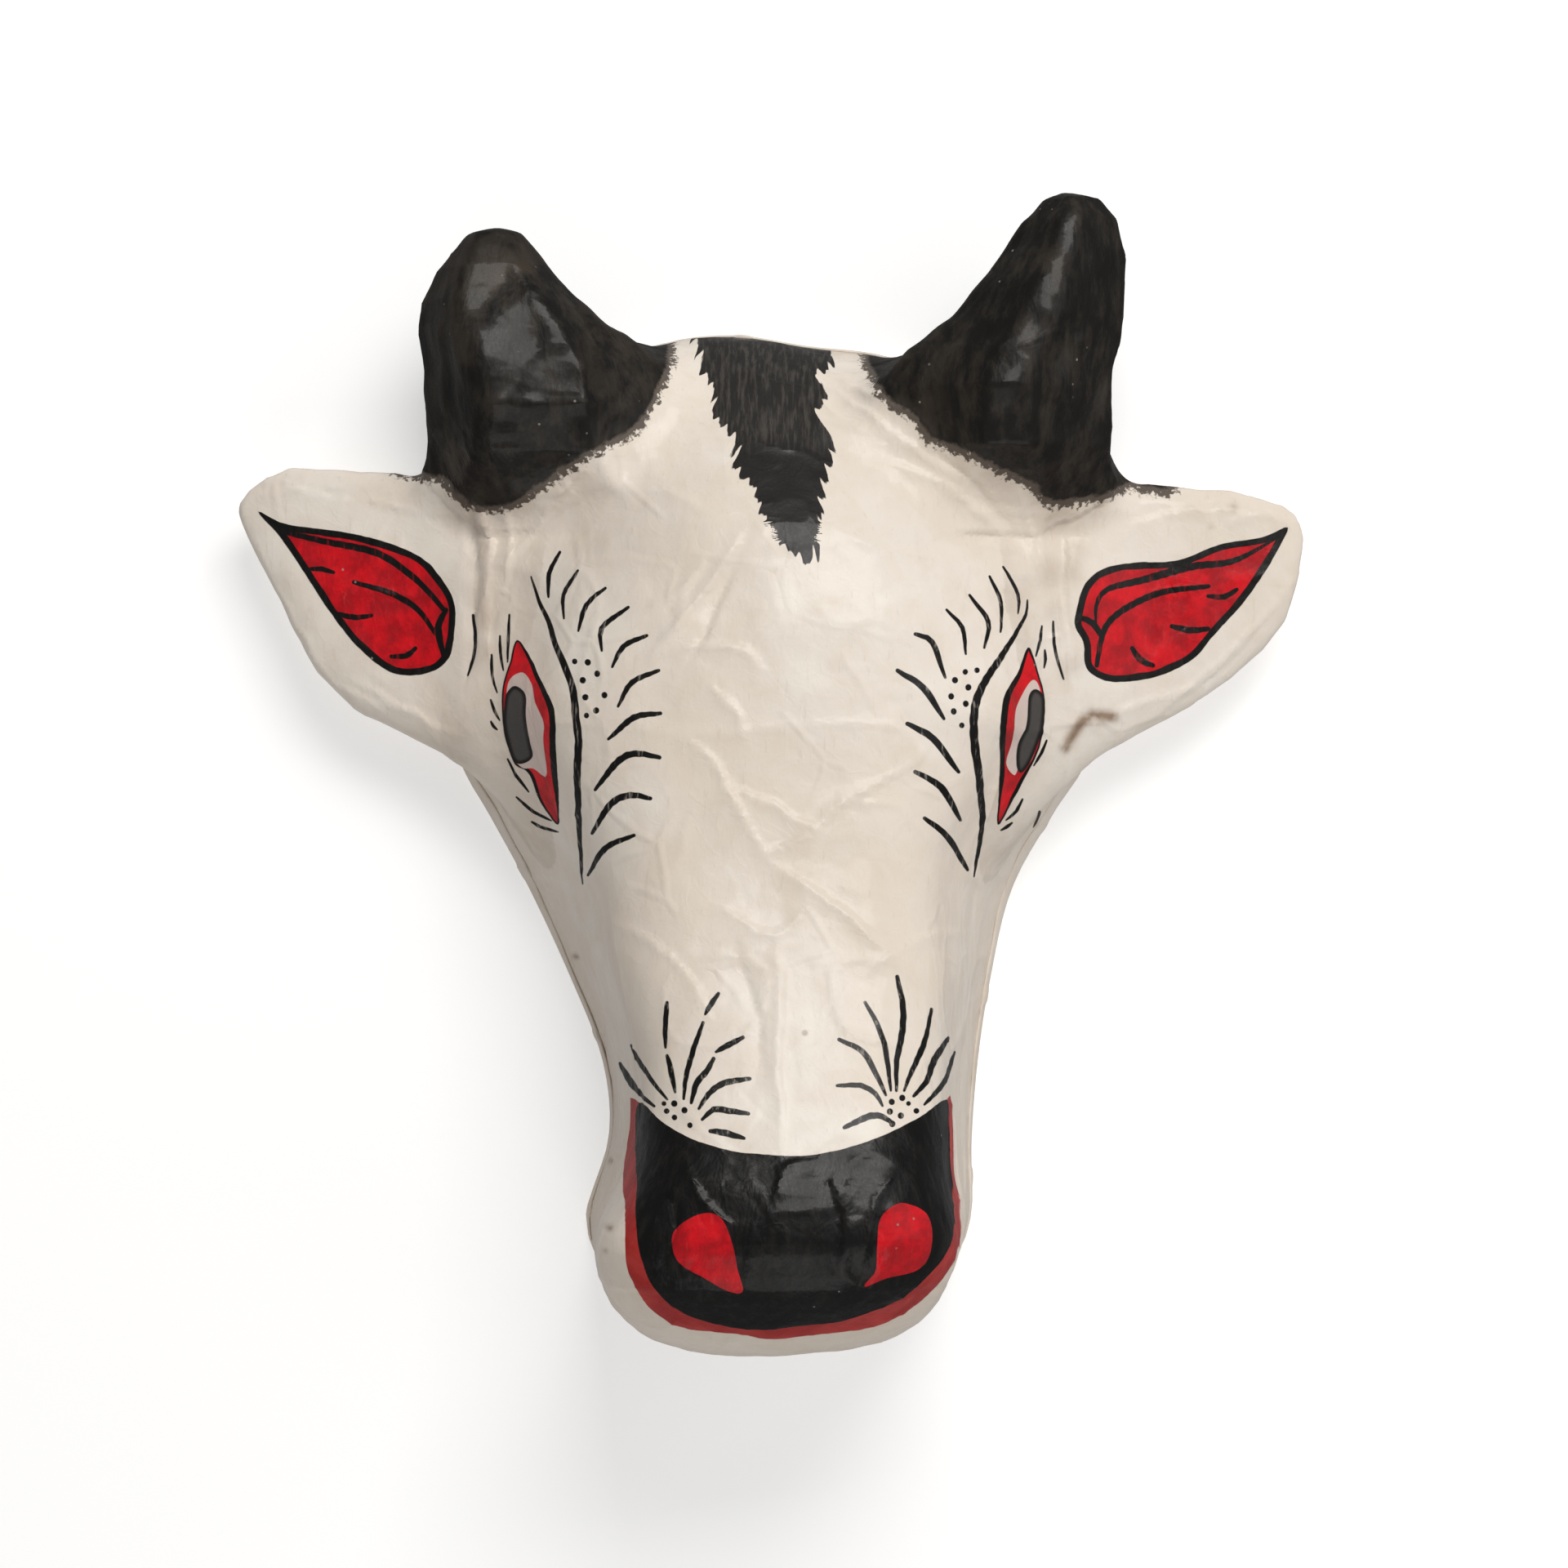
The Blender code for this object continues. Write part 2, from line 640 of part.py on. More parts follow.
def ear_strip(name, table, side, mat):
    """A pasted strip along the joint of one face of the ear with the head."""
    stations = []
    k = np.linspace(0, 1, len(table))
    for i in range(11):
        v = -0.72 + 1.36 * i / 10
        at = lambda s, v=v: ear_point(table, v, s, side, 0.0)
        m = march(at, GAP, 0.3, 1.0)
        shift = np.array([0, side * GAP / 2, 0])
        step = 0.028
        p0, p1, p2 = [np.array([float(c[0]) for c in at(np.array([m - step * j]))]) + shift
                      for j in range(3)]
        q = np.array([float(c[0]) for c in ear_point(table, v + 0.02, np.array([m]), side, 0.0)]) + shift
        normal = np.cross(p1 - p0, q - p0)
        normal /= np.linalg.norm(normal)
        if normal[1] * side < 0:
            normal = -normal
        stations.append((p0, (p1, p2), normal, COLLAR_W * (0.8 if side > 0 else 0.55)))
    return collar(name, stations, mat)


# ------------------------------------------------------------ the assembly


def main():
    for obj in list(bpy.data.objects):
        bpy.data.objects.remove(obj, do_unlink=True)
    cream = (0.72, 0.63, 0.55)
    black = (0.015, 0.013, 0.012)
    face_shell(material("face_shell", cream, 0.32))
    rim_binding(material("rim_binding", (0.62, 0.52, 0.42), 0.6))
    for label, horn, ear, skip in (
            ("left", HORN_LEFT, EAR_LEFT, (math.radians(140), math.radians(340))),
            ("right", HORN_RIGHT, EAR_RIGHT, (math.radians(200), math.radians(400)))):
        horn_skin("horn_skin_" + label, horn, material("horn_skin_" + label, black, 0.3))
        horn_core("horn_core_" + label, horn, material("horn_core_" + label, (0.45, 0.42, 0.37), 0.9))
        horn_collar("horn_collar_" + label, horn, material("horn_collar_" + label, black, 0.35), *skip)
        ear_skin("ear_front_" + label, ear, 1, material("ear_front_" + label, (0.55, 0.02, 0.03), 0.3))
        ear_skin("ear_back_" + label, ear, -1, material("ear_back_" + label, cream, 0.32))
        ear_card("ear_card_" + label, ear, material("ear_card_" + label, (0.42, 0.30, 0.18), 0.85))
        ear_strip("ear_strip_front_" + label, ear, 1, material("ear_strip_front_" + label, cream, 0.35))
        ear_strip("ear_strip_back_" + label, ear, -1, material("ear_strip_back_" + label, cream, 0.35))


main()
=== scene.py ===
# Varnished papier-mache cow mask: the pasted paper skins of head, horns and ears,
# their torn strips, creases and brushwork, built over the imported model.

import math

import bmesh
import bpy
import numpy as np
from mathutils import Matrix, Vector


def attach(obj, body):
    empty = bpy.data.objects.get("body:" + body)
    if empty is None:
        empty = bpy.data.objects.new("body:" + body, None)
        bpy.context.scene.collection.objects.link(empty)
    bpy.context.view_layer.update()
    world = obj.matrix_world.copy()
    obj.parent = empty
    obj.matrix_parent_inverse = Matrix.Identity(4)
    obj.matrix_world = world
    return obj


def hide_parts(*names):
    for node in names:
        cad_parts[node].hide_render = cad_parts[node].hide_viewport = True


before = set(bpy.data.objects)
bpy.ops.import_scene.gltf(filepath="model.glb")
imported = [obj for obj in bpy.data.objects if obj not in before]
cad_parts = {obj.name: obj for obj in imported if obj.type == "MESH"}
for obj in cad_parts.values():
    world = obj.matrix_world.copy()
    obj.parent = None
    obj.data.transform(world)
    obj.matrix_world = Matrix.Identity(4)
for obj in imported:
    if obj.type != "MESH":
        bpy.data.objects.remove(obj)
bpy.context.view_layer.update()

RIM_D = 1.6             # depth of the shell's cut edge in front of the rim plane, mm
STEP = 1.25             # grid step of the skin's mesh, mm

# ------------------------------------------------------------ dimensions, mm
RIM_OUTLINE = [
    (-12, 138), (12, 134.5), (36, 131.5), (60, 122), (81, 100.5), (94, 73), (100, 45),
    (102, 20), (99, 2), (90, -12), (76, -37), (69, -66), (65, -92), (63, -118),
    (63, -140), (58, -154), (46, -166), (26, -175), (-6, -178.3), (-31, -174), (-46, -165), (-55, -154),
    (-58, -140), (-51, -116), (-53, -92), (-63, -66), (-76, -38), (-89, -14),
    (-98, 2), (-102, 20), (-100, 45), (-94, 73), (-81, 101), (-60, 126), (-34, 135.5),
]

HEAD_STATIONS = [
    # z     depth  drop  taper round
    (150,    8,    4,   0.05,  10),
    (136,   26,    5,   0.06,  12),
    (125,   40,   10,   0.12,  20),
    (112,   53,   16,   0.24,  30),
    (96,    63,   18,   0.36,  34),
    (75,    73,   16,   0.44,  34),
    (45,    80,   12,   0.48,  26),
    (10,    84,    8,   0.50,  18),
    (-26,   90,    7,   0.38,  16),
    (-62,  100,    8,   0.22,  17),
    (-86,  110,    9,   0.17,  18),
    (-110, 121,   10,   0.13,  18),
    (-124, 128,   12,   0.11,  18),
    (-138, 131,   13,   0.08,  18),
    (-153, 126,   15,   0.05,  19),
    (-164, 114,   16,   0.00,  20),
    (-172, 103,   15,  -0.02,  18),
    (-178,  92,   14,  -0.03,  18),
    (-190,  60,   10,  -0.03,  20),
]

HORN_LEFT = [
    (166.5, -85, 3, 46, 3),
    (165, -86, 8, 46, 8),
    (161, -86, 12, 46, 12),
    (155, -86.5, 18, 45, 17),
    (145, -85, 25, 44, 22),
    (135, -80.5, 31, 43, 26),
    (125, -76, 33.5, 42, 29),
    (112, -73, 34, 41, 32),
    (98, -73, 31, 39, 31),
    (88, -73, 23, 37, 24),
    (82, -72, 10, 35, 12),
]

HORN_RIGHT = [
    (178.5, 90, 4, 48, 3.5),
    (176, 92.5, 9.5, 48, 9),
    (170, 92, 15.5, 47, 14),
    (160, 90, 20, 46, 18),
    (150, 87, 24, 45, 22),
    (140, 83, 28, 44, 25),
    (130, 77, 32, 43, 28),
    (118, 73, 34, 42, 31),
    (100, 73.5, 32.5, 40, 31),
    (90, 74, 28, 38, 27),
    (80, 75, 15, 35, 15),
]

EAR_LEFT = [
    (-74, 70, -74, -10, 28, 14),
    (-90, 78, -90, -2, 28, 13.5),
    (-104, 90, -104, 6, 26, 12.5),
    (-118, 93, -117, 13, 25, 11),
    (-130, 93, -130, 20, 24, 9.5),
    (-142, 94, -141, 32, 23, 8),
    (-152, 95, -150, 49, 22, 6.5),
    (-160, 92, -157, 63, 21, 5),
    (-165, 88, -163, 73, 20, 3.8),
    (-167.3, 84, -166.8, 79, 20, 2.6),
]

EAR_RIGHT = [
    (74, 68, 74, -14, 28, 14),
    (90, 76, 90, -4, 28, 13.5),
    (106, 90, 104, 7, 26, 12.5),
    (119, 90, 118, 14, 25, 11),
    (132, 89, 131, 21, 24, 9.5),
    (144, 88, 144, 29, 23, 8),
    (154, 85.5, 154, 38, 22, 6.5),
    (161, 83, 161, 48, 21, 5),
    (165, 81, 164.6, 60, 20, 3.8),
    (167.3, 77, 166.8, 69, 20, 2.6),
]

# ------------------------------------------------------------ brushwork, mm in the drawing plane
HORN_PAINT_LEFT = [(-36.7, 150.8), (-36.7, 139.6), (-37.7, 132.1), (-41.1, 124.5), (-46.5, 115.7), (-53.6, 110.2), (-63.7, 104.8), (-72.5, 99.3), (-80.6, 93.9), (-88.1, 90.0), (-94.9, 89.2), (-99.6, 90.5), (-103.7, 93.9), (-109.2, 98.0), (-127.4, 104.0), (-135.2, 145.6), (-124.8, 192.4), (-67.6, 192.4), (-36.7, 171.6)]
HORN_PAINT_RIGHT = [(26.0, 145.6), (26.8, 134.7), (30.4, 127.7), (33.8, 122.7), (41.6, 117.3), (45.0, 113.6), (47.1, 110.2), (54.1, 107.4), (62.4, 104.0), (72.0, 99.1), (79.0, 95.7), (84.0, 91.0), (89.4, 90.5), (96.5, 92.0), (103.5, 93.6), (109.5, 95.7), (127.4, 104.0), (127.4, 202.8), (62.4, 202.8), (31.2, 171.6)]
FORELOCK = [(-29.6, 171.6), (-28.6, 150.8), (-28.1, 141.2), (-26.3, 136.8), (-26.3, 132.3), (-22.4, 125.3), (-22.6, 117.5), (-15.9, 110.5), (-14.6, 107.4), (-15.9, 103.7), (-15.1, 100.1), (-13.3, 97.2), (-10.4, 95.2), (-9.1, 92.0), (-7.5, 86.8), (-6.2, 84.0), (-3.6, 81.4), (-1.6, 76.7), (3.9, 72.8), (7.8, 70.7), (9.9, 72.3), (10.7, 79.3), (11.7, 82.9), (11.7, 90.0), (13.0, 94.6), (13.0, 98.8), (14.8, 102.7), (15.6, 106.1), (13.5, 112.1), (10.4, 116.0), (10.7, 118.6), (13.8, 121.7), (13.0, 126.1), (9.9, 130.3), (13.5, 131.8), (15.1, 134.9), (13.5, 145.6), (11.7, 171.6)]
LEAF_LEFT = [(-167.4, 86.8), (-158.3, 82.7), (-139.6, 80.1), (-125.8, 76.7), (-115.4, 72.0), (-110.0, 66.6), (-104.8, 57.2), (-105.3, 44.2), (-107.1, 39.5), (-111.8, 35.9), (-119.3, 34.6), (-126.6, 36.4), (-136.0, 44.2), (-145.3, 56.2), (-152.6, 67.3), (-160.2, 78.5)]
LEAF_RIGHT = [(160.2, 81.6), (152.1, 78.5), (138.6, 76.2), (125.3, 71.2), (111.8, 70.5), (101.9, 68.6), (95.7, 63.7), (93.1, 55.6), (92.6, 50.2), (95.2, 45.0), (95.7, 37.7), (99.3, 34.1), (105.6, 32.5), (118.0, 34.1), (129.7, 39.5), (136.8, 47.6), (145.9, 57.5), (152.1, 66.3), (156.5, 73.6)]
# black lines inside the ears, with the half width of the brush
LEAF_LINES = [
    (0.75, [(-159.6, 80.3), (-146.1, 77.2), (-130.3, 73.8), (-121.2, 68.4), (-112.8, 60.8), (-108.2, 55.4)]),
    (0.65, [(-136.8, 64.2), (-124.8, 60.6), (-116.5, 55.4), (-110.8, 47.8)]),
    (0.75, [(-107.6, 55.4), (-110.0, 49.7), (-108.2, 40.6)]),
    (0.55, [(-150.8, 68.4), (-146.9, 68.4), (-143.3, 67.3)]),
    (0.6, [(-142.5, 54.3), (-136.5, 53.0), (-131.3, 53.6)]),
    (0.6, [(-124.8, 40.6), (-120.1, 40.8), (-117.3, 43.2)]),
    (0.75, [(156.5, 78.0), (143.0, 71.0), (129.7, 69.2), (114.4, 65.0), (102.7, 61.9), (99.3, 56.7), (99.3, 50.2)]),
    (0.7, [(134.9, 62.9), (120.6, 61.1), (110.0, 56.7), (103.7, 52.0), (101.1, 46.8), (99.3, 37.7)]),
    (0.7, [(93.9, 53.0), (98.3, 51.2), (101.1, 46.8)]),
    (0.6, [(134.9, 59.8), (139.9, 59.5), (144.0, 61.9)]),
    (0.7, [(123.5, 50.2), (129.5, 48.9), (134.9, 49.4)]),
    (0.7, [(110.8, 43.2), (113.4, 39.5), (117.3, 37.7)]),
]
EYE_LEFT = [(-84.5, 45.8), (-80.1, 39.8), (-78.3, 35.4), (-74.6, 27.6), (-72.8, 21.8), (-72.3, 11.7), (-71.8, 3.6), (-71.0, -12.0), (-74.1, -9.9), (-77.7, -4.4), (-80.9, 3.6), (-85.0, 6.5), (-87.4, 11.7), (-88.9, 17.9), (-89.4, 26.0), (-88.9, 31.5), (-86.8, 38.7)]
EYE_WHITE_LEFT = [(-87.6, 30.4), (-83.2, 35.4), (-80.1, 32.2), (-79.0, 26.0), (-76.4, 19.5), (-76.2, 14.0), (-74.9, 3.6), (-76.2, 2.9), (-79.3, 5.2), (-83.2, 5.7), (-86.3, 11.7)]
PUPIL_LEFT = [(-87.6, 29.1), (-85.0, 31.2), (-81.6, 28.3), (-81.4, 21.1), (-80.1, 14.0), (-79.3, 9.1), (-82.4, 6.8), (-85.3, 7.5), (-87.6, 13.3), (-88.9, 19.5), (-88.4, 26.0)]
EYE_RIGHT = [(77.2, 43.4), (73.8, 35.4), (69.4, 28.3), (68.1, 17.2), (68.1, 6.8), (67.9, -4.4), (68.1, -13.0), (72.8, -4.7), (77.0, 2.9), (80.9, 11.7), (82.4, 21.8), (82.2, 28.3), (80.9, 33.8), (79.3, 39.5)]
EYE_WHITE_RIGHT = [(78.5, 33.0), (73.1, 24.4), (72.3, 14.0), (70.5, 6.8), (73.1, 2.9), (74.6, 5.2), (78.5, 7.8), (81.1, 18.2), (81.1, 28.6)]
PUPIL_RIGHT = [(79.3, 30.2), (82.2, 27.6), (82.2, 20.3), (80.6, 13.3), (78.0, 6.8), (75.4, 3.6), (73.8, 6.0), (74.1, 12.5), (76.4, 19.5), (77.0, 27.6)]
# the long lines that run down beside the eyes
BROWS = [
    (0.85, [(-79.8, 65.8), (-77.2, 57.7), (-74.6, 51.5), (-72.5, 44.2), (-68.9, 35.4), (-67.1, 29.1), (-66.3, 21.1), (-65.3, 13.3), (-65.5, 4.4), (-65.0, -4.4), (-64.7, -16.4), (-63.7, -31.7)]),
    (0.9, [(77.2, 58.5), (76.7, 53.8), (73.8, 48.9), (68.9, 41.1), (64.2, 33.8), (61.1, 26.8), (60.1, 19.5), (60.3, 11.7), (61.4, 3.6), (62.1, -4.4), (62.7, -9.9), (61.9, -19.5), (60.3, -29.4)]),
]
# brushed lashes, thickest at their middle
LASHES = [
    (0.5, [(-71.0, 73.6), (-74.1, 66.6), (-74.4, 59.3)]),
    (0.45, [(-65.0, 67.6), (-69.7, 60.1), (-69.7, 52.5)]),
    (0.5, [(-56.9, 62.4), (-62.7, 56.9), (-65.3, 48.6)]),
    (0.55, [(-49.7, 56.4), (-58.0, 49.7), (-58.0, 42.4)]),
    (0.6, [(-43.7, 47.3), (-51.0, 43.9), (-54.6, 37.2)]),
    (0.62, [(-39.8, 36.1), (-48.4, 32.2), (-52.8, 24.7)]),
    (0.7, [(-39.3, 22.4), (-47.6, 21.1), (-55.6, 14.3)]),
    (0.75, [(-39.5, 8.3), (-46.8, 9.6), (-52.3, 7.5), (-59.5, -1.8)]),
    (0.75, [(-42.4, -4.7), (-48.4, -3.6), (-54.6, -6.2), (-60.6, -15.6)]),
    (0.65, [(-47.6, -16.4), (-56.2, -20.3), (-61.9, -28.9)]),
    (0.4, [(69.4, 68.9), (74.1, 60.1), (74.1, 54.1)]),
    (0.45, [(65.0, 65.8), (68.6, 57.7), (68.1, 48.1)]),
    (0.5, [(59.0, 60.1), (64.5, 51.5), (63.4, 43.2)]),
    (0.5, [(51.7, 55.4), (56.7, 49.7), (57.7, 41.3)]),
    (0.65, [(41.6, 47.6), (47.1, 45.0), (51.2, 33.8)]),
    (0.75, [(36.1, 36.1), (44.2, 30.7), (50.7, 20.8)]),
    (0.8, [(39.3, 19.2), (47.6, 14.3), (55.4, 3.9)]),
    (0.75, [(41.9, 3.9), (49.9, -1.0), (55.9, -11.4)]),
    (0.7, [(45.0, -10.9), (52.3, -17.2), (58.0, -27.3)]),
]
# thin lines round the eyes
FINE_LINES = [
    (0.36, [(-87.1, 53.8), (-87.4, 46.8), (-87.6, 38.7)]),
    (0.36, [(-90.2, 47.1), (-90.0, 41.6), (-88.9, 36.1)]),
    (0.36, [(-92.8, 41.1), (-92.6, 34.8), (-91.0, 29.1)]),
    (0.36, [(-93.1, 26.8), (-92.0, 23.4), (-90.2, 20.3)]),
    (0.36, [(-93.1, 20.0), (-92.3, 18.5), (-91.0, 17.4)]),
    (0.36, [(-87.6, 8.1), (-84.8, 2.9), (-80.9, -2.3)]),
    (0.36, [(-84.8, -3.9), (-79.3, -8.6), (-73.3, -11.4)]),
    (0.36, [(-79.8, -11.7), (-75.7, -13.8), (-71.5, -15.1)]),
    (0.5, [(-99.1, 53.8), (-98.3, 47.8), (-98.5, 41.9), (-100.6, 34.6)]),
    (0.36, [(81.9, 50.2), (81.1, 45.5), (79.8, 40.6)]),
    (0.36, [(82.7, 42.6), (82.9, 39.8), (82.4, 36.9)]),
    (0.36, [(85.5, 51.7), (85.5, 46.8), (86.1, 41.9), (88.4, 33.3)]),
    (0.36, [(83.2, 14.0), (81.6, 9.9), (79.3, 6.0)]),
    (0.36, [(75.7, -4.7), (73.6, -8.6), (70.5, -11.4)]),
    (0.36, [(72.3, -12.2), (70.7, -13.5), (68.9, -14.6)]),
    (0.36, [(80.9, -8.3), (80.1, -11.2), (79.0, -13.5)]),
]
# whisker fans above the muzzle
WHISKERS = [
    (0.6, [(-51.7, -88.9), (-46.5, -97.8), (-40.6, -102.7)]),
    (0.5, [(-48.4, -83.2), (-45.2, -89.7), (-41.1, -95.2), (-36.7, -100.6)]),
    (0.6, [(-36.9, -69.7), (-37.4, -78.0), (-37.4, -84.0)]),
    (0.6, [(-36.9, -86.6), (-35.9, -90.0), (-34.3, -98.3)]),
    (0.6, [(-20.8, -66.8), (-23.1, -70.2), (-25.0, -73.6)]),
    (0.6, [(-25.7, -76.2), (-28.9, -85.5), (-30.9, -92.8), (-31.7, -100.4)]),
    (0.65, [(-13.0, -80.9), (-17.4, -83.2), (-21.6, -85.5)]),
    (0.7, [(-22.4, -87.6), (-24.7, -91.8), (-27.6, -95.2), (-29.4, -101.7)]),
    (0.7, [(-10.9, -93.9), (-19.2, -95.4), (-23.9, -98.8), (-27.0, -103.5)]),
    (0.7, [(-11.4, -105.0), (-18.7, -104.0), (-22.4, -103.7), (-26.0, -106.9)]),
    (0.75, [(-23.4, -110.5), (-19.2, -111.0), (-12.7, -112.8)]),
    (0.65, [(17.4, -81.6), (25.0, -85.5), (28.9, -92.0), (32.2, -99.3)]),
    (0.6, [(25.7, -69.9), (29.4, -76.7), (32.2, -85.5), (33.8, -97.8)]),
    (0.7, [(35.6, -61.6), (37.4, -70.5), (37.2, -79.0), (35.6, -88.1), (35.6, -97.8)]),
    (0.6, [(46.5, -71.8), (44.2, -81.6), (40.8, -90.0), (38.0, -97.8)]),
    (0.7, [(51.5, -80.9), (47.1, -88.1), (44.7, -94.6), (40.8, -99.6)]),
    (0.6, [(53.8, -85.5), (50.4, -94.6), (44.2, -102.2)]),
    (0.6, [(16.9, -96.2), (24.4, -96.2), (28.9, -98.8), (31.2, -102.7)]),
    (0.75, [(19.2, -109.5), (23.7, -107.4), (27.8, -105.8), (31.2, -106.1), (34.8, -108.4)]),
]
# small dots among the lashes and at the whiskers' roots: place and radius
DOTS = [(-66.6, 39.0, 0.91), (-62.4, 38.7, 1.04), (-64.0, 33.0, 1.04), (-59.5, 35.1, 1.04), (-63.2, 27.6, 1.04), (-57.2, 28.3, 1.04), (-59.8, 23.4, 1.04), (-62.9, 21.8, 0.91), (57.5, 35.6, 0.91), (61.1, 36.1, 0.91), (54.3, 33.0, 1.04), (58.5, 30.7, 1.04), (53.0, 27.8, 1.04), (57.7, 25.5, 1.04), (53.8, 23.1, 1.04), (56.4, 18.7, 0.91), (-34.6, -101.9, 1.04), (-36.9, -104.3, 0.91), (-31.5, -104.0, 1.04), (-34.6, -106.3, 0.91), (-29.9, -108.7, 0.91), (-37.7, -101.9, 0.78), (34.1, -101.4, 1.04), (37.4, -100.1, 1.04), (33.5, -104.5, 1.04), (36.9, -105.8, 1.04), (41.6, -104.3, 0.91), (34.3, -108.4, 1.04), (39.3, -101.9, 0.78)]
MUZZLE_BLACK = [(-46.5, -101.4), (-37.4, -108.4), (-29.1, -113.1), (-18.5, -116.5), (-8.6, -117.8), (2.3, -118.6), (13.8, -117.5), (25.5, -114.4), (35.4, -110.2), (43.7, -105.6), (51.2, -100.4), (52.0, -110.2), (53.6, -130.8), (53.6, -143.3), (51.2, -150.0), (45.2, -157.3), (37.2, -164.1), (28.1, -168.2), (17.2, -171.6), (5.5, -172.6), (-7.8, -173.7), (-19.2, -172.4), (-30.9, -168.7), (-40.0, -161.5), (-45.0, -151.6), (-47.1, -140.1), (-46.8, -120.9)]
MOUTH_RED = [(-50.4, -101.1), (-46.3, -101.4), (-45.4, -104.0), (-44.0, -112.0), (-42.0, -120.0), (-38.0, -126.0), (-20.0, -127.0), (0.0, -127.0), (22.0, -127.0), (42.0, -126.0), (46.5, -120.0), (49.0, -112.0), (50.6, -104.0), (51.2, -100.4), (52.8, -100.1), (54.6, -118.6), (55.6, -133.4), (56.2, -143.3), (53.6, -152.4), (48.6, -159.9), (40.3, -167.4), (30.4, -172.4), (20.5, -174.5), (8.1, -175.8), (-4.4, -176.5), (-12.7, -175.2), (-22.6, -174.2), (-33.3, -172.6), (-42.6, -166.7), (-47.6, -158.3), (-50.2, -150.0), (-50.7, -124.8)]
NOSTRIL_LEFT = [(-35.9, -145.1), (-33.3, -140.4), (-26.0, -136.8), (-20.0, -138.3), (-16.4, -146.6), (-14.8, -154.2), (-13.0, -161.2), (-17.7, -161.2), (-25.2, -157.3), (-33.3, -152.4)]
NOSTRIL_RIGHT = [(38.0, -133.6), (44.5, -136.0), (47.1, -141.7), (46.3, -150.0), (42.1, -155.0), (33.0, -157.3), (25.5, -159.9), (29.1, -155.0), (29.6, -147.4), (30.4, -139.1), (33.8, -134.9)]
